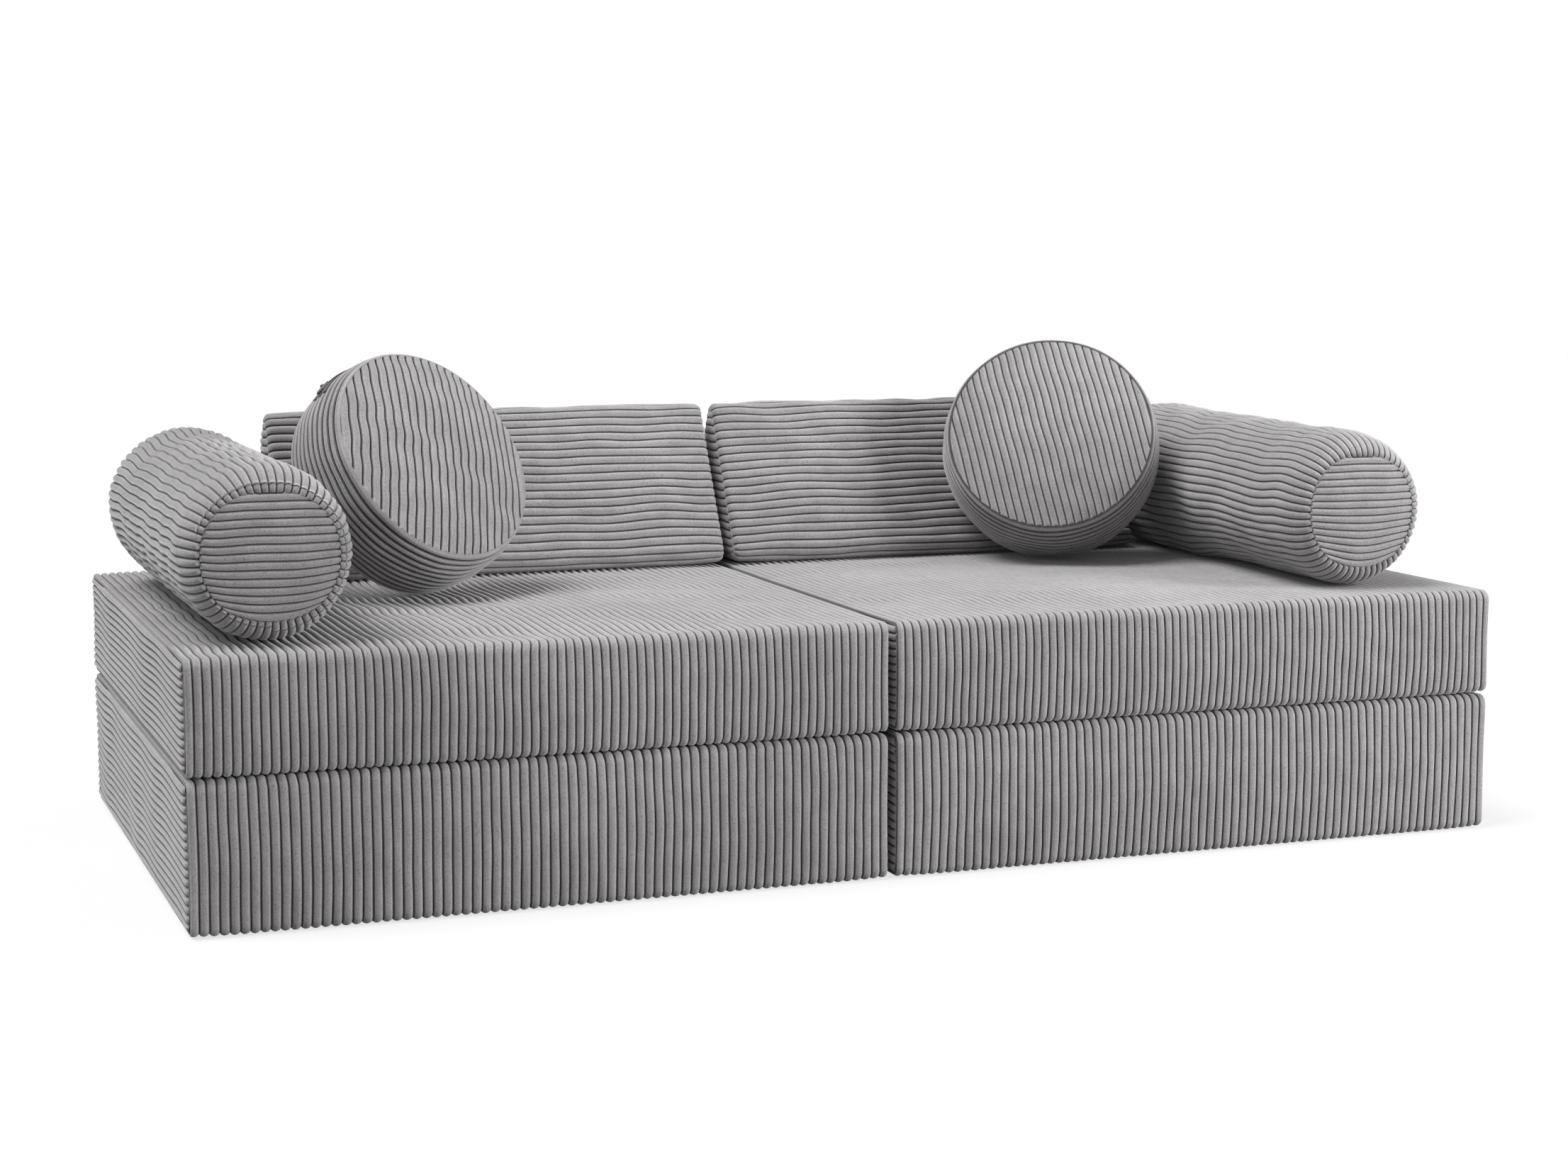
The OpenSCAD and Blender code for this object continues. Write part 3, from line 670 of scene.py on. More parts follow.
@dataclass(frozen=True)
class SliderFinish:
    """Painted metal of a zip slider, rubbed bright where fingers hold it."""

    paint: Tone = field(default_factory=lambda: Tone.grey(0.55))
    rubbed: Tone = field(default_factory=lambda: Tone.grey(0.74))

    def material(self, pile: PileGroup) -> bpy.types.Material:
        """Builds the slider's material.

        Args:
            pile: The shared node group, used here for rubbed patches.

        Returns:
            The material.
        """
        made, t = new_material("slider_metal")
        worn = t.add("ShaderNodeGroup", {"node_tree": pile.group}, Grain=1400.0, Patch=60.0)
        mask = t.ramp(worn.outputs["Patches"], [(0.48, 0.0), (0.62, 1.0)])
        tone = t.mix(mask, self.paint.rgba(), self.rubbed.rgba())
        rough = t.math("SUBTRACT", 0.48, t.math("MULTIPLY", mask, 0.2))
        metal = t.math("MULTIPLY", mask, 0.8)
        height = worn.outputs["Speckle"]
        bump = t.add("ShaderNodeBump", Strength=0.25, Distance=0.0001, Height=height)
        shader = t.add(
            "ShaderNodeBsdfPrincipled",
            Base_Color=tone, Roughness=rough, Metallic=metal, Normal=bump.outputs[0],
        )
        t.end(shader)
        return made


# Filling


@dataclass(frozen=True)
class Swell:
    """Cloth simulation in which the filling swells a smooth copy of a cushion.

    The copy starts slightly smaller, its cloth is blown up, how far it may move is
    capped, and the skin with its ribs and seams follows the copy.
    """

    voxel: float = 0.012
    pressure: float = 4.0
    frames: int = 20
    shrink: float = 0.0015
    reach: float = 0.0027
    cell: float = 0.022

    def cage(self, skin: bpy.types.Object) -> bpy.types.Object:
        """Makes the smooth copy.

        Args:
            skin: The ribbed skin, in metres.

        Returns:
            An even mesh of the same form without ribs.
        """
        pick(skin)
        bpy.ops.object.duplicate()
        cage = bpy.context.object
        remesh = cage.modifiers.new("remesh", "REMESH")
        remesh.mode = "VOXEL"
        remesh.voxel_size = self.voxel
        bpy.ops.object.modifier_apply(modifier=remesh.name)
        bpy.ops.object.mode_set(mode="EDIT")
        bpy.ops.mesh.select_all(action="SELECT")
        bpy.ops.mesh.vertices_smooth(factor=0.5, repeat=8)
        bpy.ops.object.mode_set(mode="OBJECT")
        return cage

    def blow(self, cage: bpy.types.Object, free: Array) -> None:
        """Runs the cloth and applies it.

        Args:
            cage: The smooth copy.
            free: How free each of its points is.
        """
        held = cage.vertex_groups.new(name="held")
        for level in range(1, 11):
            share = level / 10
            points = np.flatnonzero(np.round((1 - free) * 10) == level)
            held.add(points.tolist(), share, "REPLACE")
        cloth = cage.modifiers.new("swell", "CLOTH")
        settings = cloth.settings
        settings.quality = 4
        settings.mass = 0.25
        settings.tension_stiffness = settings.compression_stiffness = 12
        settings.shear_stiffness = 5
        settings.bending_stiffness = 0.6
        settings.use_pressure = True
        settings.uniform_pressure_force = self.pressure
        settings.effector_weights.gravity = 0
        settings.vertex_group_mass = "held"
        cloth.collision_settings.use_collision = False
        cloth.point_cache.frame_start = 1
        cloth.point_cache.frame_end = self.frames
        for frame_number in range(1, self.frames + 1):
            bpy.context.scene.frame_set(frame_number)
        pick(cage)
        bpy.ops.object.modifier_apply(modifier=cloth.name)
        bpy.context.scene.frame_set(1)

    def carry(self, rest: Array, move: Array, points: Array) -> Array:
        """Spreads the copy's moves over the space round it and reads them at the skin.

        Args:
            rest: Places of the copy's points.
            move: How far each moved.
            points: Places of the skin's points.

        Returns:
            How far each point of the skin moves.
        """
        low = rest.min(axis=0) - 3 * self.cell
        size = np.ceil((rest.max(axis=0) - low) / self.cell).astype(int) + 4
        corners = [(i, j, k) for i in (0, 1) for j in (0, 1) for k in (0, 1)]

        def weights(places: Array) -> list:
            """Cell numbers and shares of the eight cells round each place."""
            at = (places - low) / self.cell
            first = np.clip(np.floor(at).astype(int), 0, size - 2)
            part = np.clip(at - first, 0, 1)
            return [
                (tuple((first + corner).T), np.prod(np.where(corner, part, 1 - part), axis=1))
                for corner in corners
            ]

        total = np.zeros((*size, 4))
        for cells, share in weights(rest):
            np.add.at(total, cells, np.column_stack([move, np.ones(len(move))]) * share[:, None])
        for _ in range(2):
            for way in range(3):
                total = 0.5 * total + 0.25 * (np.roll(total, 1, way) + np.roll(total, -1, way))
        moves = total[..., :3] / np.maximum(total[..., 3:], 1e-9)
        return sum(moves[cells] * share[:, None] for cells, share in weights(points))

    def fill(self, skin: bpy.types.Object, free_at: Callable) -> None:
        """Swells a skin.

        Args:
            skin: The ribbed skin in its own frame, in metres.
            free_at: Gives how free the cloth is at places in millimetres.
        """
        cage = self.cage(skin)
        rest = coordinates(cage.data)
        normals = np.empty(len(rest) * 3)
        cage.data.vertices.foreach_get("normal", normals)
        free = np.clip(free_at(rest / MM), 0, 1)
        start = rest - normals.reshape(-1, 3) * (self.shrink * free)[:, None]
        set_coordinates(cage.data, start)
        self.blow(cage, free)
        grown = coordinates(cage.data) - start
        far = np.linalg.norm(grown, axis=1)
        usual = max(float(np.percentile(far[free > 0.5], 90)), 1e-6)
        grown *= min(1.0, self.reach / usual)
        far = np.linalg.norm(grown, axis=1)
        grown *= (np.minimum(far, self.reach) / np.maximum(far, 1e-9))[:, None]
        kept = min(usual, self.reach)
        LOG.info("%s: swell of %.1f mm, kept to %.1f mm", skin.name, usual / MM, kept / MM)
        move = (start - rest + grown) * free[:, None]
        points = coordinates(skin.data)
        set_coordinates(skin.data, points + self.carry(rest, move, points))
        spare = cage.data
        bpy.data.objects.remove(cage)
        bpy.data.meshes.remove(spare)


# Cushions


@dataclass
class Cushion:
    """A loose cushion whose skin is a ribbed wrap between two ribbed end panels."""

    name: str
    place: Matrix
    seed: int
    fill: float = 0.8
    axis: int = 0
    wale: Wale = field(default_factory=Wale)
    swell: Swell = field(default_factory=Swell)
    zip_width: float = 27.0
    zip_sink: float = 3.9
    # Strength of the painted shade along the sewn ends of the wrap.
    rim_shade: float = SEAM_SHADE

    def sheets(self) -> list[Cloth]:
        """The sheets of the skin in the cushion's own frame."""
        raise NotImplementedError

    def build(self) -> bpy.types.Object:
        """Lays the sheets, sews them and moves the skin to its place.

        Returns:
            The finished skin.
        """
        laid = [cloth.lay() for cloth in self.sheets()]
        deselect()
        for sheet in laid:
            sheet.select_set(True)
        bpy.context.view_layer.objects.active = laid[0]
        bpy.ops.object.join()
        skin = bpy.context.object
        skin.name = skin.data.name = f"{self.name}_skin"
        self.close(skin.data)
        set_coordinates(skin.data, coordinates(skin.data) * MM)
        self.swell.fill(skin, self.free)
        turn = np.array(self.place)
        co = coordinates(skin.data) @ turn[:3, :3].T + turn[:3, 3]
        set_coordinates(skin.data, self.settle(co))
        if self.place.determinant() < 0:
            skin.data.flip_normals()
        return skin

    def close(self, mesh: bpy.types.Mesh) -> None:
        """Sews the end panels to the wrap and turns all faces outwards.

        Args:
            mesh: Mesh of the joined sheets.
        """
        bm = bmesh.new()
        bm.from_mesh(mesh)
        edges = [
            (loop_by_angle(bm, Sheet.WRAP, near, self.axis), loop_by_angle(bm, part, near, self.axis))
            for part, near in ((Sheet.NEAR, True), (Sheet.FAR, False))
        ]
        for wrap_edge, panel_edge in edges:
            sew(bm, wrap_edge, panel_edge)
        bmesh.ops.recalc_face_normals(bm, faces=bm.faces)
        for face in bm.faces:
            face.smooth = True
        bm.to_mesh(mesh)
        bm.free()

    def free(self, co: Array) -> Array:
        """How free the cloth is to swell at each place, from 0 where it rests to 1.

        Args:
            co: Places in the cushion's own frame, in millimetres.

        Returns:
            One share for each place.
        """
        raise NotImplementedError

    def settle(self, co: Array) -> Array:
        """Lets the placed skin give way where it rests. The plain cushion doesn't."""
        return co

    def dress(self, skin: bpy.types.Object, corduroy: bpy.types.Material) -> None:
        """Gives the skin its finish, its body and its place in the frame.

        Args:
            skin: The finished skin.
            corduroy: Its material.
        """
        skin.data.materials.clear()
        skin.data.materials.append(corduroy)
        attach(skin, self.name)
        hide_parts(f"{self.name}_cover", f"{self.name}_wadding", f"{self.name}_foam")

    def capped(self, wrap: Cloth, end: Callable) -> list[Cloth]:
        """A wrap and its two end panels, turned to the cushion's axis.

        Args:
            wrap: The ribbed wrap.
            end: Gives the panel of a part, from the part and a number that seeds it.

        Returns:
            The three sheets.
        """
        made = [wrap]
        for part, sign in ((Sheet.NEAR, -1), (Sheet.FAR, 1)):
            cloth = end(part, sign)
            along, across, axial = np.moveaxis(cloth.points, 2, 0)
            cloth.points = np.dstack([sign * axial, along, across])
            made.append(cloth)
        return made

    def wrapped(self, grid: Array, normals: Array, lift: Array, zipped: Array, furrow: Array,
                seam: Array, spread: tuple, turned: bool = False) -> Cloth:
        """The wrap as a sheet, with its ribs raised and the zip's channel pressed in.

        Args:
            grid: Points of the plain form.
            normals: Their normals.
            lift: How far each is raised.
            zipped: Where the wrap lies under the zip.
            furrow: How far each lies from its rib's middle.
            seam: Distance of each to the sewn end, in millimetres, which sets the painted shade along
                the seam.
            spread: Places across and along the cloth.
            turned: True if the grid's columns go round the cushion.

        Returns:
            The wrap, with its rows round the cushion.
        """
        lift = np.where(zipped, -self.zip_sink, lift)
        # Painted shade along the sewn ends, fading out over the seam width.
        tone = self.rim_shade * (1 - np.clip(seam / SEAM_WIDTH, 0, 1))
        layers = [
            grid + normals * lift[..., None],
            np.where(zipped, ZIP_FURROW, furrow),
            np.broadcast_to(tone, lift.shape),
            np.dstack(np.broadcast_arrays(*spread, lift)[:2]),
        ]
        if turned:
            layers = [np.swapaxes(layer, 0, 1) for layer in layers]
        return Cloth(Sheet.WRAP, *layers, around=True)

    def panel(self, part: Sheet, outline: Array, ribs: int, stations: int, dome: Callable,
              wave: Ripple, lump: Ripple, tilt: float = 0.0, hang: Optional[Callable] = None,
              rim: float = 0.35, stitch: float = 0.0) -> Cloth:
        """A ribbed end panel inside a convex outline.

        Args:
            part: The end that it closes.
            outline: Outline as rows of along, across.
            ribs: Number of ribs across it.
            stations: Points along each rib.
            dome: Gives the place along the cushion's axis, from along, across, and the
                distances to a rib's ends and to the first and last rib.
            wave: Sideways waves of the ribs.
            lump: Unevenness of the padding.
            tilt: Turn of the ribs from the outline's first direction, in degrees.
            hang: Gives how far a rib's middle hangs below its ends, from its share of
                the way up.
            rim: Share of a furrow's depth, and of its painted shade, that is left at the outline.
            stitch: Half length of the sewn stitch that shows in the middle of the top.

        Returns:
            The panel as a sheet whose points are along, across and axial.
        """
        c, s = math.cos(math.radians(tilt)), math.sin(math.radians(tilt))
        turned = outline @ np.array([[c, -s], [s, c]])
        low, high = turned[:, 1].min(), turned[:, 1].max()
        shares, furrow = self.wale.columns(ribs)
        across = low + 0.4 + (high - low - 0.8) * shares
        drop = hang(shares) if hang else np.zeros_like(shares)
        start, end = chord_ends(turned, across + drop)
        step = 0.5 - 0.5 * np.cos(np.linspace(0, math.pi, stations))
        step = 0.45 * step + 0.55 * np.linspace(0, 1, stations)
        along = start[None, :] + (end - start)[None, :] * step[:, None]
        rows = across[None, :] + drop[None, :] * ((2 * step - 1) ** 2)[:, None]
        to_end = np.minimum(along - start, end - along)
        to_side = np.broadcast_to(np.minimum(across - low, high - across)[None, :], along.shape)
        hold = rise(to_end, 24) * rise(to_side, 20)
        shifted = rows + hold * wave.at(rows, along)
        back = np.stack([c * along + s * shifted, -s * along + c * shifted], axis=2)
        axial = dome(back[..., 0], back[..., 1], to_end, to_side)
        grid = np.dstack([back, axial])
        normal = surface_normals(grid, False, np.array([0.0, 0.0, -1e4]))
        edge = rise(to_side, 4.0, 1.5)
        deep = rim + (1 - rim) * edge
        sink = self.wale.sink(furrow)[None, :] * deep * (0.7 + 0.3 * rise(to_end, 4.0))
        grid = grid + normal * (lump.at(rows, along) * hold - sink)[..., None]
        # Painted shade along the sewn edge, with a full-strength dark line where the stitch shows at
        # the top.
        seam = SEAM_SHADE * (1 - rise(np.minimum(to_end, to_side), 1.6, 1.0))
        sewn = (across > high - 2.0)[None, :] & (np.abs(along - (start + end) / 2) < stitch)
        seam = np.where(sewn, 1.0, seam)
        spread = np.dstack([rows, along])
        return Cloth(part, grid, furrow[None, :] * deep, seam, spread)


@dataclass
class BlockCushion(Cushion):
    """A flat block of the base or of the seat, with its wrap over the top and front."""

    height: float = 170.0
    length: float = 800.0
    depth: float = 800.0
    ribs: int = 73
    panel_ribs: int = 16
    roll_top: float = 14.0
    roll_foot: float = 12.0
    crown: float = 4.0
    sit: float = 0.0
    sit_start: float = 240.0
    edge_roll: float = 3.2
    seam_in: float = 2.0
    draw_in: float = 1.6
    draw_length: float = 70.0
    top_wave: float = 0.9
    end_wave: float = 1.3
    end_wave_length: float = 130.0
    # Power that widens the painted furrow shade on the end panels.
    end_shade: float = 0.75
    zip_half: float = 321.0

    def section(self) -> Array:
        """The wrap's section from the back's foot upwards and round to the front."""
        r, f = self.roll_top, self.roll_foot
        y1 = self.depth / 2 - self.crown
        z1 = self.height / 2
        half_zip = self.zip_width / 2
        face = 2 * z1 - r - f
        middle = (z1 - f) / face
        zip_at = [middle + d / face for d in (-half_zip - 0.8, -half_zip, 0, half_zip, half_zip + 0.8)]
        back = np.array(sorted([0.12, 0.88] + zip_at))
        return np.vstack([
            arc((y1 - f, f - z1), f, -90, 0, 7),
            flat((y1, f - z1), (y1, z1 - r), 0, self.crown, back),
            arc((y1 - r, z1 - r), r, 0, 90, 7),
            flat((y1 - r, z1), (r - y1, z1), 90, 0, np.arange(1, 48) / 48),
            arc((r - y1, z1 - r), r, 90, 180, 8),
            flat((-y1, z1 - r), (-y1, f - z1), 180, self.crown, np.arange(1, 9) / 9),
            arc((f - y1, f - z1), f, 180, 270, 8),
            flat((f - y1, -z1), (y1 - f, -z1), 270, 0, np.arange(1, 9) / 9),
        ])

    def wrap(self) -> Cloth:
        """The ribbed wrap round the top, front, sole and back."""
        section = self.section()
        section = np.vstack([section, section[:1]])
        shares, furrow = self.wale.columns(self.ribs)
        half = self.length / 2
        x = (half - self.seam_in) * (2 * shares - 1)
        steps = np.linalg.norm(np.diff(section[:, :2], axis=0), axis=1)
        run = np.concatenate([[0], np.cumsum(steps)])
        to_end = half - np.abs(x)
        draw = np.clip(1 - (to_end - self.seam_in) / self.draw_length, 0, 1) ** 2
        q = np.clip((to_end - self.seam_in) / self.edge_roll, 0, 1)
        inset = self.draw_in * draw + self.edge_roll * (1 - np.sqrt(1 - (1 - q) ** 2))
        place, normal, crown = section[:, 0:2], section[:, 2:4], section[:, 4:6]
        flat_part = (
            place[:, None, :] + (1 - draw)[None, :, None] * crown[:, None, :]
            - inset[None, :, None] * normal[:, None, :]
        )
        on_top = (normal[:, 1] > 0.999).astype(float)
        y = place[:, 0]
        front, back = -self.depth / 2 + self.crown + self.roll_top, -self.depth / 2 + 390
        v = np.clip((y - front) / (back - front), 0, 1) * 2 - 1
        outer, inner = -half + self.sit_start, half - self.seam_in - self.draw_length
        w = np.clip((x - outer) / (inner - outer), 0, 1) * 2 - 1
        bulge = self.sit * (on_top * (1 - v**2) ** 2)[:, None] * ((1 - w**2) ** 2)[None, :]
        wave = Ripple(self.seed, self.top_wave, 130, 200)
        hold = np.clip((to_end - self.seam_in) / 40, 0, 1)
        shift = wave.at(x[None, :], run[:, None]) * hold * (0.3 + 0.7 * ease(normal[:, 1]))[:, None]
        shift[-1] = shift[0]
        grid = np.dstack([x[None, :] + shift, flat_part[..., 0], flat_part[..., 1] + bulge])
        normals = surface_normals(grid, True, np.zeros(3))
        lump = Ripple(self.seed + 1, 0.35, 70, 30, 10).at(x[None, :], run[:, None]) * hold
        lump = lump * (1 - 0.8 * (np.abs(normal[:, 1]) > 0.9)[:, None])
        lump[-1] = lump[0]
        rim = 0.45 + 0.55 * rise(to_end - self.seam_in, 4.0, 1.5)
        lift = np.minimum(lump, 0.4) - (self.wale.sink(furrow) * rim)[None, :]
        return self.wrapped(
            grid, normals, lift, self.zip_mask(place, normal, x), furrow[None, :],
            (to_end - self.seam_in)[None, :], (x[None, :], run[:, None]),
        )

    def free(self, co: Array) -> Array:
        """The sides are free, and so is the sitting area of a seat block."""
        x, y, z = co.T
        side = ease((self.height / 2 - np.abs(z)) / 32)
        if not self.sit:
            return side
        outer, foot = self.length / 2 - self.sit_start, self.depth / 2 - 270
        top = ease((z - self.height / 2 + 16) / 12) * ease((foot - y) / 70) * ease((x + outer) / 70)
        return np.maximum(side, top)

    def zip_mask(self, place: Array, normal: Array, x: Array) -> Array:
        """Where the wrap lies under the zip in the middle of the back."""
        on_back = (normal[:, 0] > 0.999) & (np.abs(place[:, 1]) < self.zip_width / 2 + 0.1)
        return on_back[:, None] & (np.abs(x) < self.zip_half)[None, :]

    def sheets(self) -> list[Cloth]:
        """The wrap and the two end panels."""
        inset = self.draw_in + self.edge_roll + 1.2
        a = self.depth / 2 - self.crown - inset
        b = self.height / 2 - inset
        outline = np.vstack([
            arc(
                (sy * (a - roll + inset), sz * (b - roll + inset)), roll - inset, start, start + 90, 10,
            )[:, :2]
            for sy, sz, start, roll in (
                (1, -1, -90, self.roll_foot), (1, 1, 0, self.roll_top),
                (-1, 1, 90, self.roll_top), (-1, -1, 180, self.roll_foot),
            )
        ])

        def dome(y: Array, z: Array, to_end: Array, to_side: Array) -> Array:
            """Padding of the end panel, with rounded rib ends."""
            near = np.minimum(to_end, to_side)
            return (
                self.length / 2 - 1.8 * (1 - rise(near, 5, 2.0))
                - max(self.seam_in - 1.6, 0.2) * (1 - rise(near, 45, 2.4))
            )

        def end(part: Sheet, sign: int) -> Cloth:
            """One end panel, with widened painted shade in its furrows."""
            cloth = self.panel(
                part, outline, self.panel_ribs, 56, dome,
                Ripple(self.seed + 5 + sign, self.end_wave, self.end_wave_length, 420),
                Ripple(self.seed + 9 + sign, 0.4, 260, 160),
            )
            # Widens the painted furrow shade.
            cloth.furrow = cloth.furrow**self.end_shade
            return cloth

        return self.capped(self.wrap(), end)

    def settle(self, co: Array) -> Array:
        """Keeps a block on what it stands on."""
        floor = self.place.translation.z - self.height / 2 * MM + 0.0002
        co[:, 2] = np.maximum(co[:, 2], floor)
        return co


@dataclass
class WedgeCushion(Cushion):
    """A back cushion of triangular section with ribs along the sofa."""

    length: float = 596.0
    width: float = 240.0
    peak: float = 231.0
    roll: float = 18.0
    crown: float = 5.0
    ribs: int = 59
    panel_ribs: int = 18
    end_roll: float = 8.0
    seam_in: float = 4.0
    draw_in: float = 3.0
    draw_length: float = 70.0
    foot_spread: float = 0.0
    spread_reach: float = 60.0
    spread_height: float = 100.0
    zip_edge: float = 215.6
    zip_share: float = 0.34

    @property
    def slope(self) -> float:
        """Lean of the two slopes from upright, in degrees."""
        return math.degrees(math.atan(self.width / 2 / self.peak))

    def section(self, inset: float = 0.0, crown: Optional[float] = None, steps: int = 24) -> Array:
        """The wrap's section from the back foot over the top and back under the sole.

        Args:
            inset: Distance inside the outer face.
            crown: Height of the slopes' crown.
            steps: Steps along each face.

        Returns:
            Rows like those of arc.
        """
        crown = self.crown if crown is None else crown
        slope = self.slope
        foot = math.radians((90 - slope) / 2)
        r = self.roll
        lean = np.array([math.cos(math.radians(slope)), math.sin(math.radians(slope))])
        back = np.array([self.width - r / math.tan(foot), r])
        front = np.array([r / math.tan(foot), r])
        top = np.array([self.width / 2, self.peak - r / math.sin(math.radians(slope))])
        r = r - inset
        ahead = lean * np.array([-1, 1])
        shares = np.arange(1, steps) / steps
        return np.vstack([
            arc(back, r, -90, slope, 14),
            flat(back + r * lean, top + r * lean, slope, crown, shares),
            arc(top, r, slope, 180 - slope, 14),
            flat(top + r * ahead, front + r * ahead, 180 - slope, crown, shares),
            arc(front, r, 180 - slope, 270, 14),
            flat(front - [0, r], back - [0, r], 270, 0, shares),
        ])

    def wrap(self) -> Cloth:
        """The ribbed wrap, with its ribs along the cushion."""
        section = self.section()
        section = np.vstack([section, section[:1]])
        full = section[:, 0:2] + section[:, 4:6]
        run = np.concatenate([[0], np.cumsum(np.linalg.norm(np.diff(full, axis=0), axis=1))])
        shares, furrow = self.wale.columns(self.ribs)
        half = self.length / 2
        inner = np.linspace(-1, 1, 33)
        close = np.array([0.0, 0.4, 1.2, 2.5, 4.5, 7.0, 10.0, 15.0, 22.0, 31.0])
        edge = half - self.seam_in
        x = np.concatenate([
            -edge + close, inner * (edge - 42), edge - close[::-1], both_sides(self.zip_edge, 0.7),
        ])
        x = np.unique(np.round(x, 3))
        to_end = half - np.abs(x)
        draw = np.clip(1 - (to_end - self.seam_in) / self.draw_length, 0, 1) ** 2
        q = np.clip((to_end - self.seam_in) / self.end_roll, 0, 1)
        inset = self.draw_in * draw + self.end_roll * (1 - np.sqrt(1 - (1 - q) ** 2.2))
        total = run[-1]
        wave = Ripple(self.seed, 0.8, 150, 170)
        hold = np.clip((to_end - self.seam_in) / 30, 0, 1)
        even = shares[None, :] * total
        at = even + wave.at(even, x[:, None]) * hold[:, None]
        ends = np.minimum(shares, 1 - shares) * total
        closing = np.clip(ends / 30, 0, 1)[None, :]
        at = even + (at - even) * closing
        columns = [np.interp(at, run, section[:, k]) for k in range(6)]
        y = columns[0] + (1 - draw)[:, None] * columns[4] - inset[:, None] * columns[2]
        z = columns[1] + (1 - draw)[:, None] * columns[5] - inset[:, None] * columns[3]
        grid = np.dstack([np.broadcast_to(x[:, None], y.shape), y - self.width / 2, z])
        normals = surface_normals(grid, False, np.array([0, 0, self.peak / 3]))
        lump = Ripple(self.seed + 1, 0.6, 90, 34, 10).at(at, x[:, None]) * hold[:, None]
        lump = np.where(columns[3] < -0.7, 0, np.minimum(lump, 0.8)) * closing
        rim = 0.6 + 0.4 * rise(to_end - self.seam_in, 4.0, 1.5)
        lift = lump - self.wale.sink(furrow)[None, :] * rim[:, None]
        return self.wrapped(
            grid, normals, lift, self.zip_mask(at, run, x), furrow[None, :],
            (to_end - self.seam_in)[:, None], (at, x[:, None]), turned=True,
        )

    def free(self, co: Array) -> Array:
        """All but the sole and the two ends is free."""
        return ease((co[:, 2] - 4) / 30) * ease((self.length / 2 - np.abs(co[:, 0])) / 40)

    def settle(self, co: Array) -> Array:
        """Lets the foot of the far end spread under the bolster."""
        middle = np.array(self.place.translation)
        away = (co[:, 0] - middle[0]) / MM - self.length / 2 + self.spread_reach
        low = 1 - ease((co[:, 2] - middle[2]) / MM / self.spread_height)
        co[:, 0] += self.foot_spread * MM * ease(away / self.spread_reach) * low
        return co

    def zip_mask(self, at: Array, run: Array, x: Array) -> Array:
        """Where the wrap lies under the zip on the lower part of the back slope."""
        first, last = run[14], run[14 + 24]
        middle = first + self.zip_share * (last - first)
        return (np.abs(at - middle) < self.zip_width / 2) & (np.abs(x) < self.zip_edge - 0.3)[:, None]

    def sheets(self) -> list[Cloth]:
        """The wrap and the two end panels."""
        inset = self.draw_in + self.end_roll * 0.85 + 1.2
        outline = self.section(inset, 0.0)[:, :2] - [self.width / 2, 0]

        def dome(y: Array, z: Array, to_end: Array, to_side: Array) -> Array:
            """Padding of the end panel."""
            low = rise(to_end, 24, 2.4) * rise(to_side, 18, 2.4)
            return self.length / 2 - (self.seam_in + 0.6) * (1 - low)

        def end(part: Sheet, sign: int) -> Cloth:
            """One end panel."""
            return self.panel(
                part, outline, self.panel_ribs, 22, dome,
                Ripple(self.seed + 5 + sign, 0.8, 90, 60), Ripple(self.seed + 9 + sign, 0.4, 60, 30),
            )

        return self.capped(self.wrap(), end)


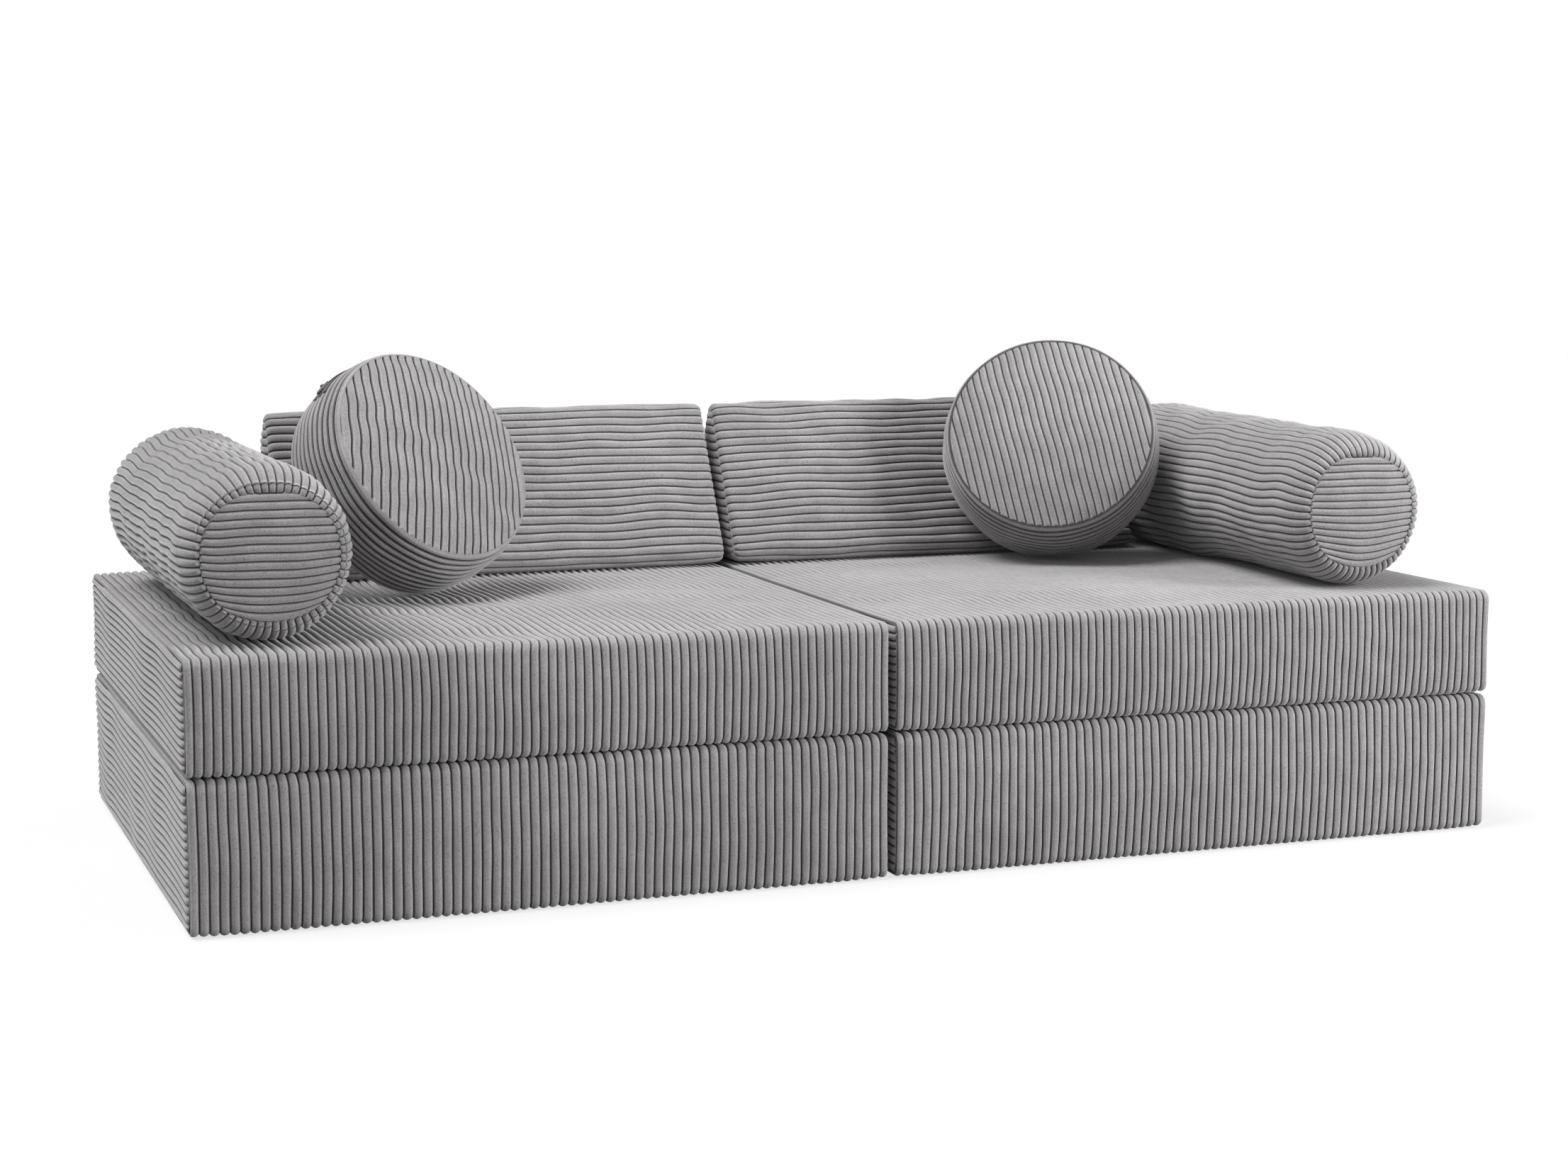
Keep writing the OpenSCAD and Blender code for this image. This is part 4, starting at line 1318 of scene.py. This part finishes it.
@dataclass
class BolsterCushion(Cushion):
    """A round arm cushion with rounded shoulders and domed caps. Its axis is X."""

    length: float = 650.0
    radius: float = 97.0
    cap_half_width: float = 79.0
    cap_half_height: float = 72.0
    cap_power: float = 2.15
    cap_flat: float = 1.6
    shoulder: float = 50.0
    barrel: float = 1.0
    front_swell: float = 3.0
    slim: float = 0.0
    sag: float = 0.0
    sag_at: float = 58.0
    sag_width: float = 30.0
    cap_crown: float = 6.0
    cap_hang: float = 11.0
    ribs: int = 56
    cap_ribs: int = 15
    wave: float = 2.2
    zip_angle: float = 225.0
    zip_edge: float = 240.6

    def cap_radius(self, angle: Array) -> Array:
        """Distance of the cap's seam from the axis.

        Args:
            angle: Directions round the axis, in radians from the cushion's own Y.

        Returns:
            One distance for each direction.
        """
        c, s = np.cos(angle), np.sin(angle)
        p = self.cap_power
        r = (np.abs(c / self.cap_half_width) ** p + np.abs(s / self.cap_half_height) ** p) ** (-1 / p)
        top = (self.cap_half_height - self.cap_flat) / np.maximum(s, 1e-3)
        return np.where(s > 0.3, np.minimum(r, top), r)

    def wrap(self) -> Cloth:
        """The ribbed tube with its ribs along the axis."""
        shares, furrow = self.wale.columns(self.ribs)
        half = self.length / 2
        neck = half - self.shoulder
        bend = np.radians(np.linspace(0, 90, 13))
        near_end = -neck - self.shoulder * np.cos(bend)
        between = np.linspace(-neck, neck, 44)[1:-1]
        x = np.concatenate([near_end, between, -near_end[::-1], both_sides(self.zip_edge, 0.7)])
        x = np.unique(np.round(x, 3))
        into = np.clip((np.abs(x) - neck) / self.shoulder, 0, 1)[:, None]
        angle = 2 * math.pi * shares - math.pi / 2
        girth = 2 * math.pi * self.radius * shares
        upper = ease((np.sin(angle) + 0.75) / 0.9)[None, :]
        bulge = self.front_swell * np.exp(-(((np.abs(x) - neck + 25) / 60) ** 2))[:, None] * upper
        tube = self.radius - self.barrel * np.clip(np.abs(x) / neck, 0, 1)[:, None] ** 2 + bulge
        cap = self.cap_radius(angle)[None, :]
        base = cap + (tube - cap) * np.sqrt(1 - into**2)
        closing = np.clip(np.minimum(shares, 1 - shares) * 14, 0, 1)
        hold = np.clip((half - np.abs(x)) / 60, 0, 1) ** 1.5
        sway = Ripple(self.seed, self.wave, 150, 260).at(girth[None, :], x[:, None])
        angle = angle[None, :] + sway * hold[:, None] * closing[None, :] / self.radius
        grid = np.dstack([
            np.broadcast_to(x[:, None], angle.shape), base * np.cos(angle), base * np.sin(angle),
        ])
        normals = surface_normals(grid, False, np.zeros(3))
        lump = Ripple(self.seed + 1, 0.6, 80, 50, 10).at(girth[None, :], x[:, None])
        lump = lump * hold[:, None] * closing[None, :]
        end_dip = 0.4 * (1 - rise(half - np.abs(x), 2.0))
        lift = np.minimum(lump, 0.6) - self.wale.sink(furrow)[None, :] - end_dip[:, None]
        from_zip = np.abs(angle - math.radians(self.zip_angle)) * self.radius
        zipped = (from_zip < self.zip_width / 2) & (np.abs(x) < self.zip_edge - 0.3)[:, None]
        return self.wrapped(
            grid, normals, lift, zipped, furrow[None, :],
            (half - np.abs(x))[:, None], (girth[None, :], x[:, None]), turned=True,
        )

    def free(self, co: Array) -> Array:
        """All but the underside is free."""
        return ease((co[:, 2] + self.radius - 3) / 40)

    def settle(self, co: Array) -> Array:
        """Draws the front in on its outer side and lets the rear sag on its inner side."""
        inverse = np.array(self.place.inverted())
        own = (co @ inverse[:3, :3].T + inverse[:3, 3]) / MM
        x, y, z = own.T
        ahead = ease(-x / (self.length / 2))
        outer = ease((self.radius - y) / (2 * self.radius))
        own[:, 1] += 2 * self.slim * ahead * outer
        own[:, 2] -= self.slim * 0.4 * ahead * ease(z / self.radius)
        behind = ease((x + 60) / 120) * ease((-z - 15) / 50)
        own[:, 2] -= self.sag * behind * np.exp(-(((y - self.sag_at) / self.sag_width) ** 2))
        own[:, 2] = np.maximum(own[:, 2], 0.3 - self.radius)
        turn = np.array(self.place)
        return own * MM @ turn[:3, :3].T + turn[:3, 3]

    def sheets(self) -> list[Cloth]:
        """The tube and its two caps."""
        ring = np.radians(np.linspace(0, 360, 181)[:-1])
        r = self.cap_radius(ring) - 0.8
        outline = np.stack([r * np.cos(ring), r * np.sin(ring)], axis=1)

        def dome(a: Array, b: Array, to_end: Array, to_side: Array) -> Array:
            """Padding of the cap."""
            share = np.clip(np.hypot(a, b) / self.cap_radius(np.arctan2(b, a)), 0, 1)
            return self.length / 2 - 0.4 + self.cap_crown * (1 - share**2.5)

        def hang(share: Array) -> Array:
            """The lower ribs hang down in the middle."""
            low = np.clip(1 - share / 0.62, 0, 1) ** 1.2
            return self.cap_hang * low - 0.8 * ease((share - 0.6) / 0.3)

        def end(part: Sheet, sign: int) -> Cloth:
            """One cap."""
            return self.panel(
                part, outline, self.cap_ribs, 36, dome,
                Ripple(self.seed + 5 + sign, 0.35, 120, 200),
                Ripple(self.seed + 9 + sign, 0.35, 60, 60), hang=hang, rim=0.8, stitch=14.0,
            )

        return self.capped(self.wrap(), end)


@dataclass
class DiscCushion(Cushion):
    """A round throw cushion with ribbed faces and a ribbed band. Its axis is X."""

    radius: float = 139.0
    width: float = 106.0
    band_crown: float = 8.0
    face_crown: float = 12.0
    band_ribs: int = 11
    face_ribs: int = 26
    face_tilt: float = 0.0
    face_wave: float = 0.7
    wave_length: float = 90.0
    groove: float = 1.0
    # Power that widens the painted furrow shade on the band.
    band_shade: float = 0.5
    zip_top: float = 90.0
    zip_half: float = 40.6
    band_wale: Wale = field(default_factory=lambda: Wale(depth=4.8, fullness=1.7, steepness=2.1))

    def wrap(self) -> Cloth:
        """The ribbed band with its ribs round the cushion."""
        shares, furrow = self.wale.columns(self.band_ribs)
        half = self.width / 2
        x = half * (2 * shares - 1)
        ring = np.linspace(0, 360, 121)
        marks = self.zip_top + both_sides(self.zip_half, 0.3)
        ring = np.unique(np.round(np.concatenate([ring, np.mod(marks, 360)]), 4))
        angle = np.radians(ring)
        base = self.radius + self.band_crown * (1 - (x / half) ** 2)
        run = angle * self.radius
        to_end = half - np.abs(x)
        hold = np.clip(to_end / 20, 0, 1)
        closing = np.clip(np.minimum(ring, 360 - ring) / 20, 0, 1)
        sway, lump = (
            ripple.at(x[None, :], run[:, None]) * hold[None, :] * closing[:, None]
            for ripple in (Ripple(self.seed, 0.8, 150, 90), Ripple(self.seed + 1, 0.5, 80, 50))
        )
        grid = np.dstack([
            x[None, :] + sway,
            np.cos(angle)[:, None] * base[None, :], np.sin(angle)[:, None] * base[None, :],
        ])
        normals = surface_normals(grid, True, np.zeros(3))
        rim = self.groove + (1 - self.groove) * rise(to_end, 4.0, 1.5)
        lift = np.minimum(lump, 0.5) - (self.band_wale.sink(furrow) * rim)[None, :]
        on_top = np.abs(ring - self.zip_top) < self.zip_half - 0.1
        zipped = (np.abs(x) < self.zip_width / 2)[None, :] & on_top[:, None]
        # The band's furrow mask is raised to widen its painted shade.
        return self.wrapped(
            grid, normals, lift, zipped, (furrow**self.band_shade * rim)[None, :],
            to_end[None, :], (x[None, :], run[:, None]),
        )

    def free(self, co: Array) -> Array:
        """All but the lowest part of the band is free."""
        return ease((co[:, 2] + self.radius) / 50)

    def sheets(self) -> list[Cloth]:
        """The band and its two faces."""
        ring = np.radians(np.linspace(0, 360, 181)[:-1])
        r = self.radius - self.wale.depth * self.groove - 0.8
        outline = r * np.stack([np.cos(ring), np.sin(ring)], axis=1)

        def dome(a: Array, b: Array, to_end: Array, to_side: Array) -> Array:
            """Padding of the face."""
            share = np.clip(np.hypot(a, b) / r, 0, 1)
            return self.width / 2 + self.face_crown * (1 - share**3)

        def end(part: Sheet, sign: int) -> Cloth:
            """One face."""
            return self.panel(
                part, outline, self.face_ribs, 68, dome,
                Ripple(self.seed + 5 + sign, self.face_wave, self.wave_length, 260),
                Ripple(self.seed + 9 + sign, 0.4, 60, 60), tilt=self.face_tilt, rim=0.6,
            )

        return self.capped(self.wrap(), end)


# The sofa


@dataclass
class Blocks:
    """The four flat blocks, two layers on each half."""

    length: float = 800.0
    gap: float = 3.0
    base_height: float = 170.0
    seat_height: float = 130.0
    rest_gap: float = 0.3
    middle_y: float = -1.95

    def cushions(self) -> list[Cushion]:
        """The four blocks at their places."""
        made: list[Cushion] = []
        for side in Side:
            x = side.value * (self.length + self.gap) / 2
            for tier in Tier:
                base = tier is Tier.BASE
                height = self.base_height if base else self.seat_height
                foot = 0.0 if base else self.base_height + self.rest_gap
                place = Matrix.Translation(Vector((x, self.middle_y, foot + height / 2)) * MM)
                mirrored = Matrix.Scale(-side.value, 4, (1, 0, 0))
                made.append(BlockCushion(
                    name=f"{tier.value}_{side.word}", place=place @ mirrored,
                    seed=110 + 40 * side.value + (17 if base else 0),
                    height=height, length=self.length, ribs=73 if base else 79,
                    panel_ribs=16 if base else 13, sit=0.0 if base else 3.0,
                    end_wave=0.9 if base else 0.6, end_wave_length=150.0 if base else 210.0,
                    swell=Swell(voxel=0.015, pressure=4.0 if base else 1.0, shrink=0.002, reach=0.002),
                    fill=0.95,
                ))
        return made


@dataclass
class Backs:
    """The two wedge cushions that stand between the bolsters."""

    left: tuple = (-595.5, 0.5)
    right: tuple = (6.5, 592.05)
    foot_z: float = 300.6
    middle_y: float = 278.05

    def cushions(self) -> list[Cushion]:
        """The two wedges at their places."""
        made: list[Cushion] = []
        for side, span, seed in ((Side.LEFT, self.left, 210), (Side.RIGHT, self.right, 260)):
            middle = (span[0] + span[1]) / 2
            made.append(WedgeCushion(
                name=f"wedge_{side.word}",
                place=Matrix.Translation(Vector((middle, self.middle_y, self.foot_z)) * MM),
                seed=seed, length=span[1] - span[0], foot_spread=15.0 if side is Side.RIGHT else 0.0,
                swell=Swell(voxel=0.009, pressure=0.5, cell=0.018), fill=0.85,
            ))
        return made


@dataclass
class Arms:
    """The two bolsters along the outer ends."""

    axis_z: float = 397.6
    length: float = 650.0
    left: tuple = (-694.5, -351.95)
    right: tuple = (653.5, -336.95)
    right_turn: float = 4.0

    def cushions(self) -> list[Cushion]:
        """The two bolsters at their places, with their axis from front to back."""
        made: list[Cushion] = []
        plump = {"wave": 1.2, "cap_half_width": 78.0, "slim": 1.5, "sag": 0.0}
        slack = {"wave": 1.6, "cap_half_width": 75.0, "slim": 4.5, "sag": 12.0}
        for side, front, turn, fit in (
            (Side.LEFT, self.left, 0.0, plump), (Side.RIGHT, self.right, self.right_turn, slack),
        ):
            spin = Matrix.Rotation(math.radians(90 - turn), 4, "Z")
            forward = Matrix.Translation((self.length / 2 * MM, 0, 0))
            place = Matrix.Translation(Vector((front[0], front[1], self.axis_z)) * MM) @ spin @ forward
            made.append(BolsterCushion(
                name=f"bolster_{side.word}", place=place, seed=330 + 30 * side.value,
                swell=Swell(voxel=0.008, pressure=24.0, cell=0.018), fill=0.75, **fit,
            ))
        return made


@dataclass
class Throws:
    """The two round throw cushions."""

    left: tuple = (-456.542, 39.05, 447.309)
    right: tuple = (441.336, 110.705, 448.275)
    left_turn: float = 29.7
    left_lean: float = 30.4
    right_turn: float = -27.1
    right_lean: float = 27.8

    @staticmethod
    def frame_of(centre: tuple, turn: float, lean: float) -> Matrix:
        """The place of a disc whose axis is X and whose far face looks forward.

        Args:
            centre: Middle of the disc in millimetres.
            turn: Turn about the upright, in degrees.
            lean: Lean backwards, in degrees.

        Returns:
            The matrix from the disc's own frame.
        """
        spin = Matrix.Rotation(math.radians(turn), 4, "Z")
        spin = spin @ Matrix.Rotation(math.radians(90 - lean), 4, "X")
        swap = Matrix(((0, 1, 0, 0), (0, 0, 1, 0), (1, 0, 0, 0), (0, 0, 0, 1)))
        return Matrix.Translation(Vector(centre) * MM) @ spin @ swap

    def cushions(self) -> list[Cushion]:
        """The two discs at their places."""
        alike = {
            "wale": Wale(depth=4.3, fullness=1.9, steepness=1.9),
            "swell": Swell(voxel=0.007, pressure=2.0, cell=0.016), "fill": 0.8,
        }
        return [
            DiscCushion(
                name="disc_left", seed=410, face_ribs=23, face_tilt=110.0, face_wave=0.33,
                wave_length=40, groove=0.45, **alike,
                place=self.frame_of(self.left, self.left_turn, self.left_lean),
            ),
            DiscCushion(
                name="disc_right", seed=470, face_ribs=26, face_tilt=75.0, face_wave=0.4,
                # Strong painted shade in the groove along the band's sewn edges.
                wave_length=110, groove=0.8, rim_shade=0.8, **alike,
                place=self.frame_of(self.right, self.right_turn, self.right_lean),
            ),
        ]


@dataclass
class Zips:
    """The zips and sliders that the frame carries."""

    def dress(self, tape: bpy.types.Material, metal: bpy.types.Material) -> int:
        """Gives every zip tape and slider its finish.

        Args:
            tape: Material of the tapes.
            metal: Material of the sliders.

        Returns:
            How many were dressed.
        """
        count = 0
        for name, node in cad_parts.items():
            finish = tape if name.endswith("_zip") else metal if name.endswith("_slider") else None
            if finish is not None:
                node.data.materials.clear()
                node.data.materials.append(finish)
                count += 1
        return count


@dataclass
class Studio:
    """Floor, light and camera."""

    camera_at: tuple = (-1.2095, -3.2786, 0.739)
    camera_down: float = 7.32
    camera_turn: float = 20.472
    lens: float = 63.8
    floor_size: float = 60.0
    floor_glow: float = 0.72
    key_from: tuple = (-0.44, 0.06, 0.90)
    key_strength: float = 2.9
    key_angle: float = 36.0
    side_at: tuple = (2.9, -2.5, 1.3)
    side_to: tuple = (0.3, -0.2, 0.3)
    side_size: float = 1.6
    side_power: float = 120.0
    fill_strength: float = 0.35

    def floor(self) -> None:
        """Lays the plain floor, which the camera sees paler than the sofa does."""
        deselect()
        bpy.ops.mesh.primitive_plane_add(size=self.floor_size, location=(0, 0, -0.0005))
        floor = bpy.context.object
        floor.name = "studio_floor"
        made, t = new_material("studio_floor")
        noise = t.noise(3.0)
        pale = t.mix(noise, Tone(0.86, 0.86, 0.86).rgba(), Tone(0.9, 0.9, 0.9).rgba())
        dim = t.mix(noise, Tone(0.26, 0.26, 0.26).rgba(), Tone(0.3, 0.3, 0.3).rgba())
        seen = t.seen()
        matt = t.add("ShaderNodeBsdfDiffuse", Color=t.mix(seen, dim, pale))
        glow = t.add("ShaderNodeEmission", Color=WHITE, Strength=1.0)
        share = t.math("MULTIPLY", seen, self.floor_glow)
        t.end(t.add("ShaderNodeMixShader", in_0=share, in_1=matt.outputs[0], in_2=glow.outputs[0]))
        floor.data.materials.append(made)

    def world(self) -> None:
        """Sets the soft light from all round and the white backdrop."""
        world = bpy.data.worlds.new("studio")
        bpy.context.scene.world = world
        world.use_nodes = True
        world.node_tree.nodes.clear()
        t = NodeTable(world.node_tree)
        light = t.add("ShaderNodeLightPath").outputs
        seen = t.math("MAXIMUM", t.seen(), light["Is Transmission Ray"])
        soft = t.add("ShaderNodeBackground", Color=WHITE, Strength=self.fill_strength)
        white = t.add("ShaderNodeBackground", Color=WHITE, Strength=1.0)
        sky = t.add("ShaderNodeMixShader", in_0=seen, in_1=soft.outputs[0], in_2=white.outputs[0])
        t.end(sky, "World")

    def light(self) -> None:
        """Hangs the wide key light above and to the left, and a side light to the front right."""
        deselect()
        bpy.ops.object.light_add(type="SUN", location=(-3, -2, 4))
        key = bpy.context.object
        key.name = "key_light"
        key.data.energy = self.key_strength
        key.data.angle = math.radians(self.key_angle)
        key.rotation_euler = Vector(self.key_from).to_track_quat("Z", "Y").to_euler()
        deselect()
        bpy.ops.object.light_add(type="AREA", location=self.side_at)
        side = bpy.context.object
        side.name = "side_light"
        side.data.energy = self.side_power
        side.data.size = self.side_size
        aim = Vector(self.side_at) - Vector(self.side_to)
        side.rotation_euler = aim.to_track_quat("Z", "Y").to_euler()

    def camera(self) -> None:
        """Sets the camera where the picture was taken from."""
        deselect()
        bpy.ops.object.camera_add(location=self.camera_at)
        camera = bpy.context.object
        down, turn = math.radians(90 - self.camera_down), math.radians(-self.camera_turn)
        camera.rotation_euler = (down, 0, turn)
        camera.data.lens = self.lens
        camera.data.sensor_width = 36.0
        camera.data.clip_end = 200.0
        bpy.context.scene.camera = camera

    def set_up(self) -> None:
        """Sets up the whole studio."""
        self.floor()
        self.world()
        self.light()
        self.camera()
        bpy.context.scene.view_settings.view_transform = "Standard"


def main() -> None:
    """Builds the sofa in order and reports each piece."""
    logging.basicConfig(level=logging.INFO, format="%(name)s: %(message)s")
    Studio().set_up()
    pile = PileGroup()
    corduroy = CorduroyFinish().material(pile)
    dressed = Zips().dress(ZipFinish().material(pile), SliderFinish().material(pile))
    LOG.info("%d zip parts dressed", dressed)
    for group in (Blocks(), Backs(), Arms(), Throws()):
        for cushion in group.cushions():
            skin = cushion.build()
            cushion.dress(skin, corduroy)
            faces = sum(len(p.vertices) - 2 for p in skin.data.polygons)
            LOG.info("%s: %d triangles", skin.name, faces)


if __name__ == "__main__":
    main()
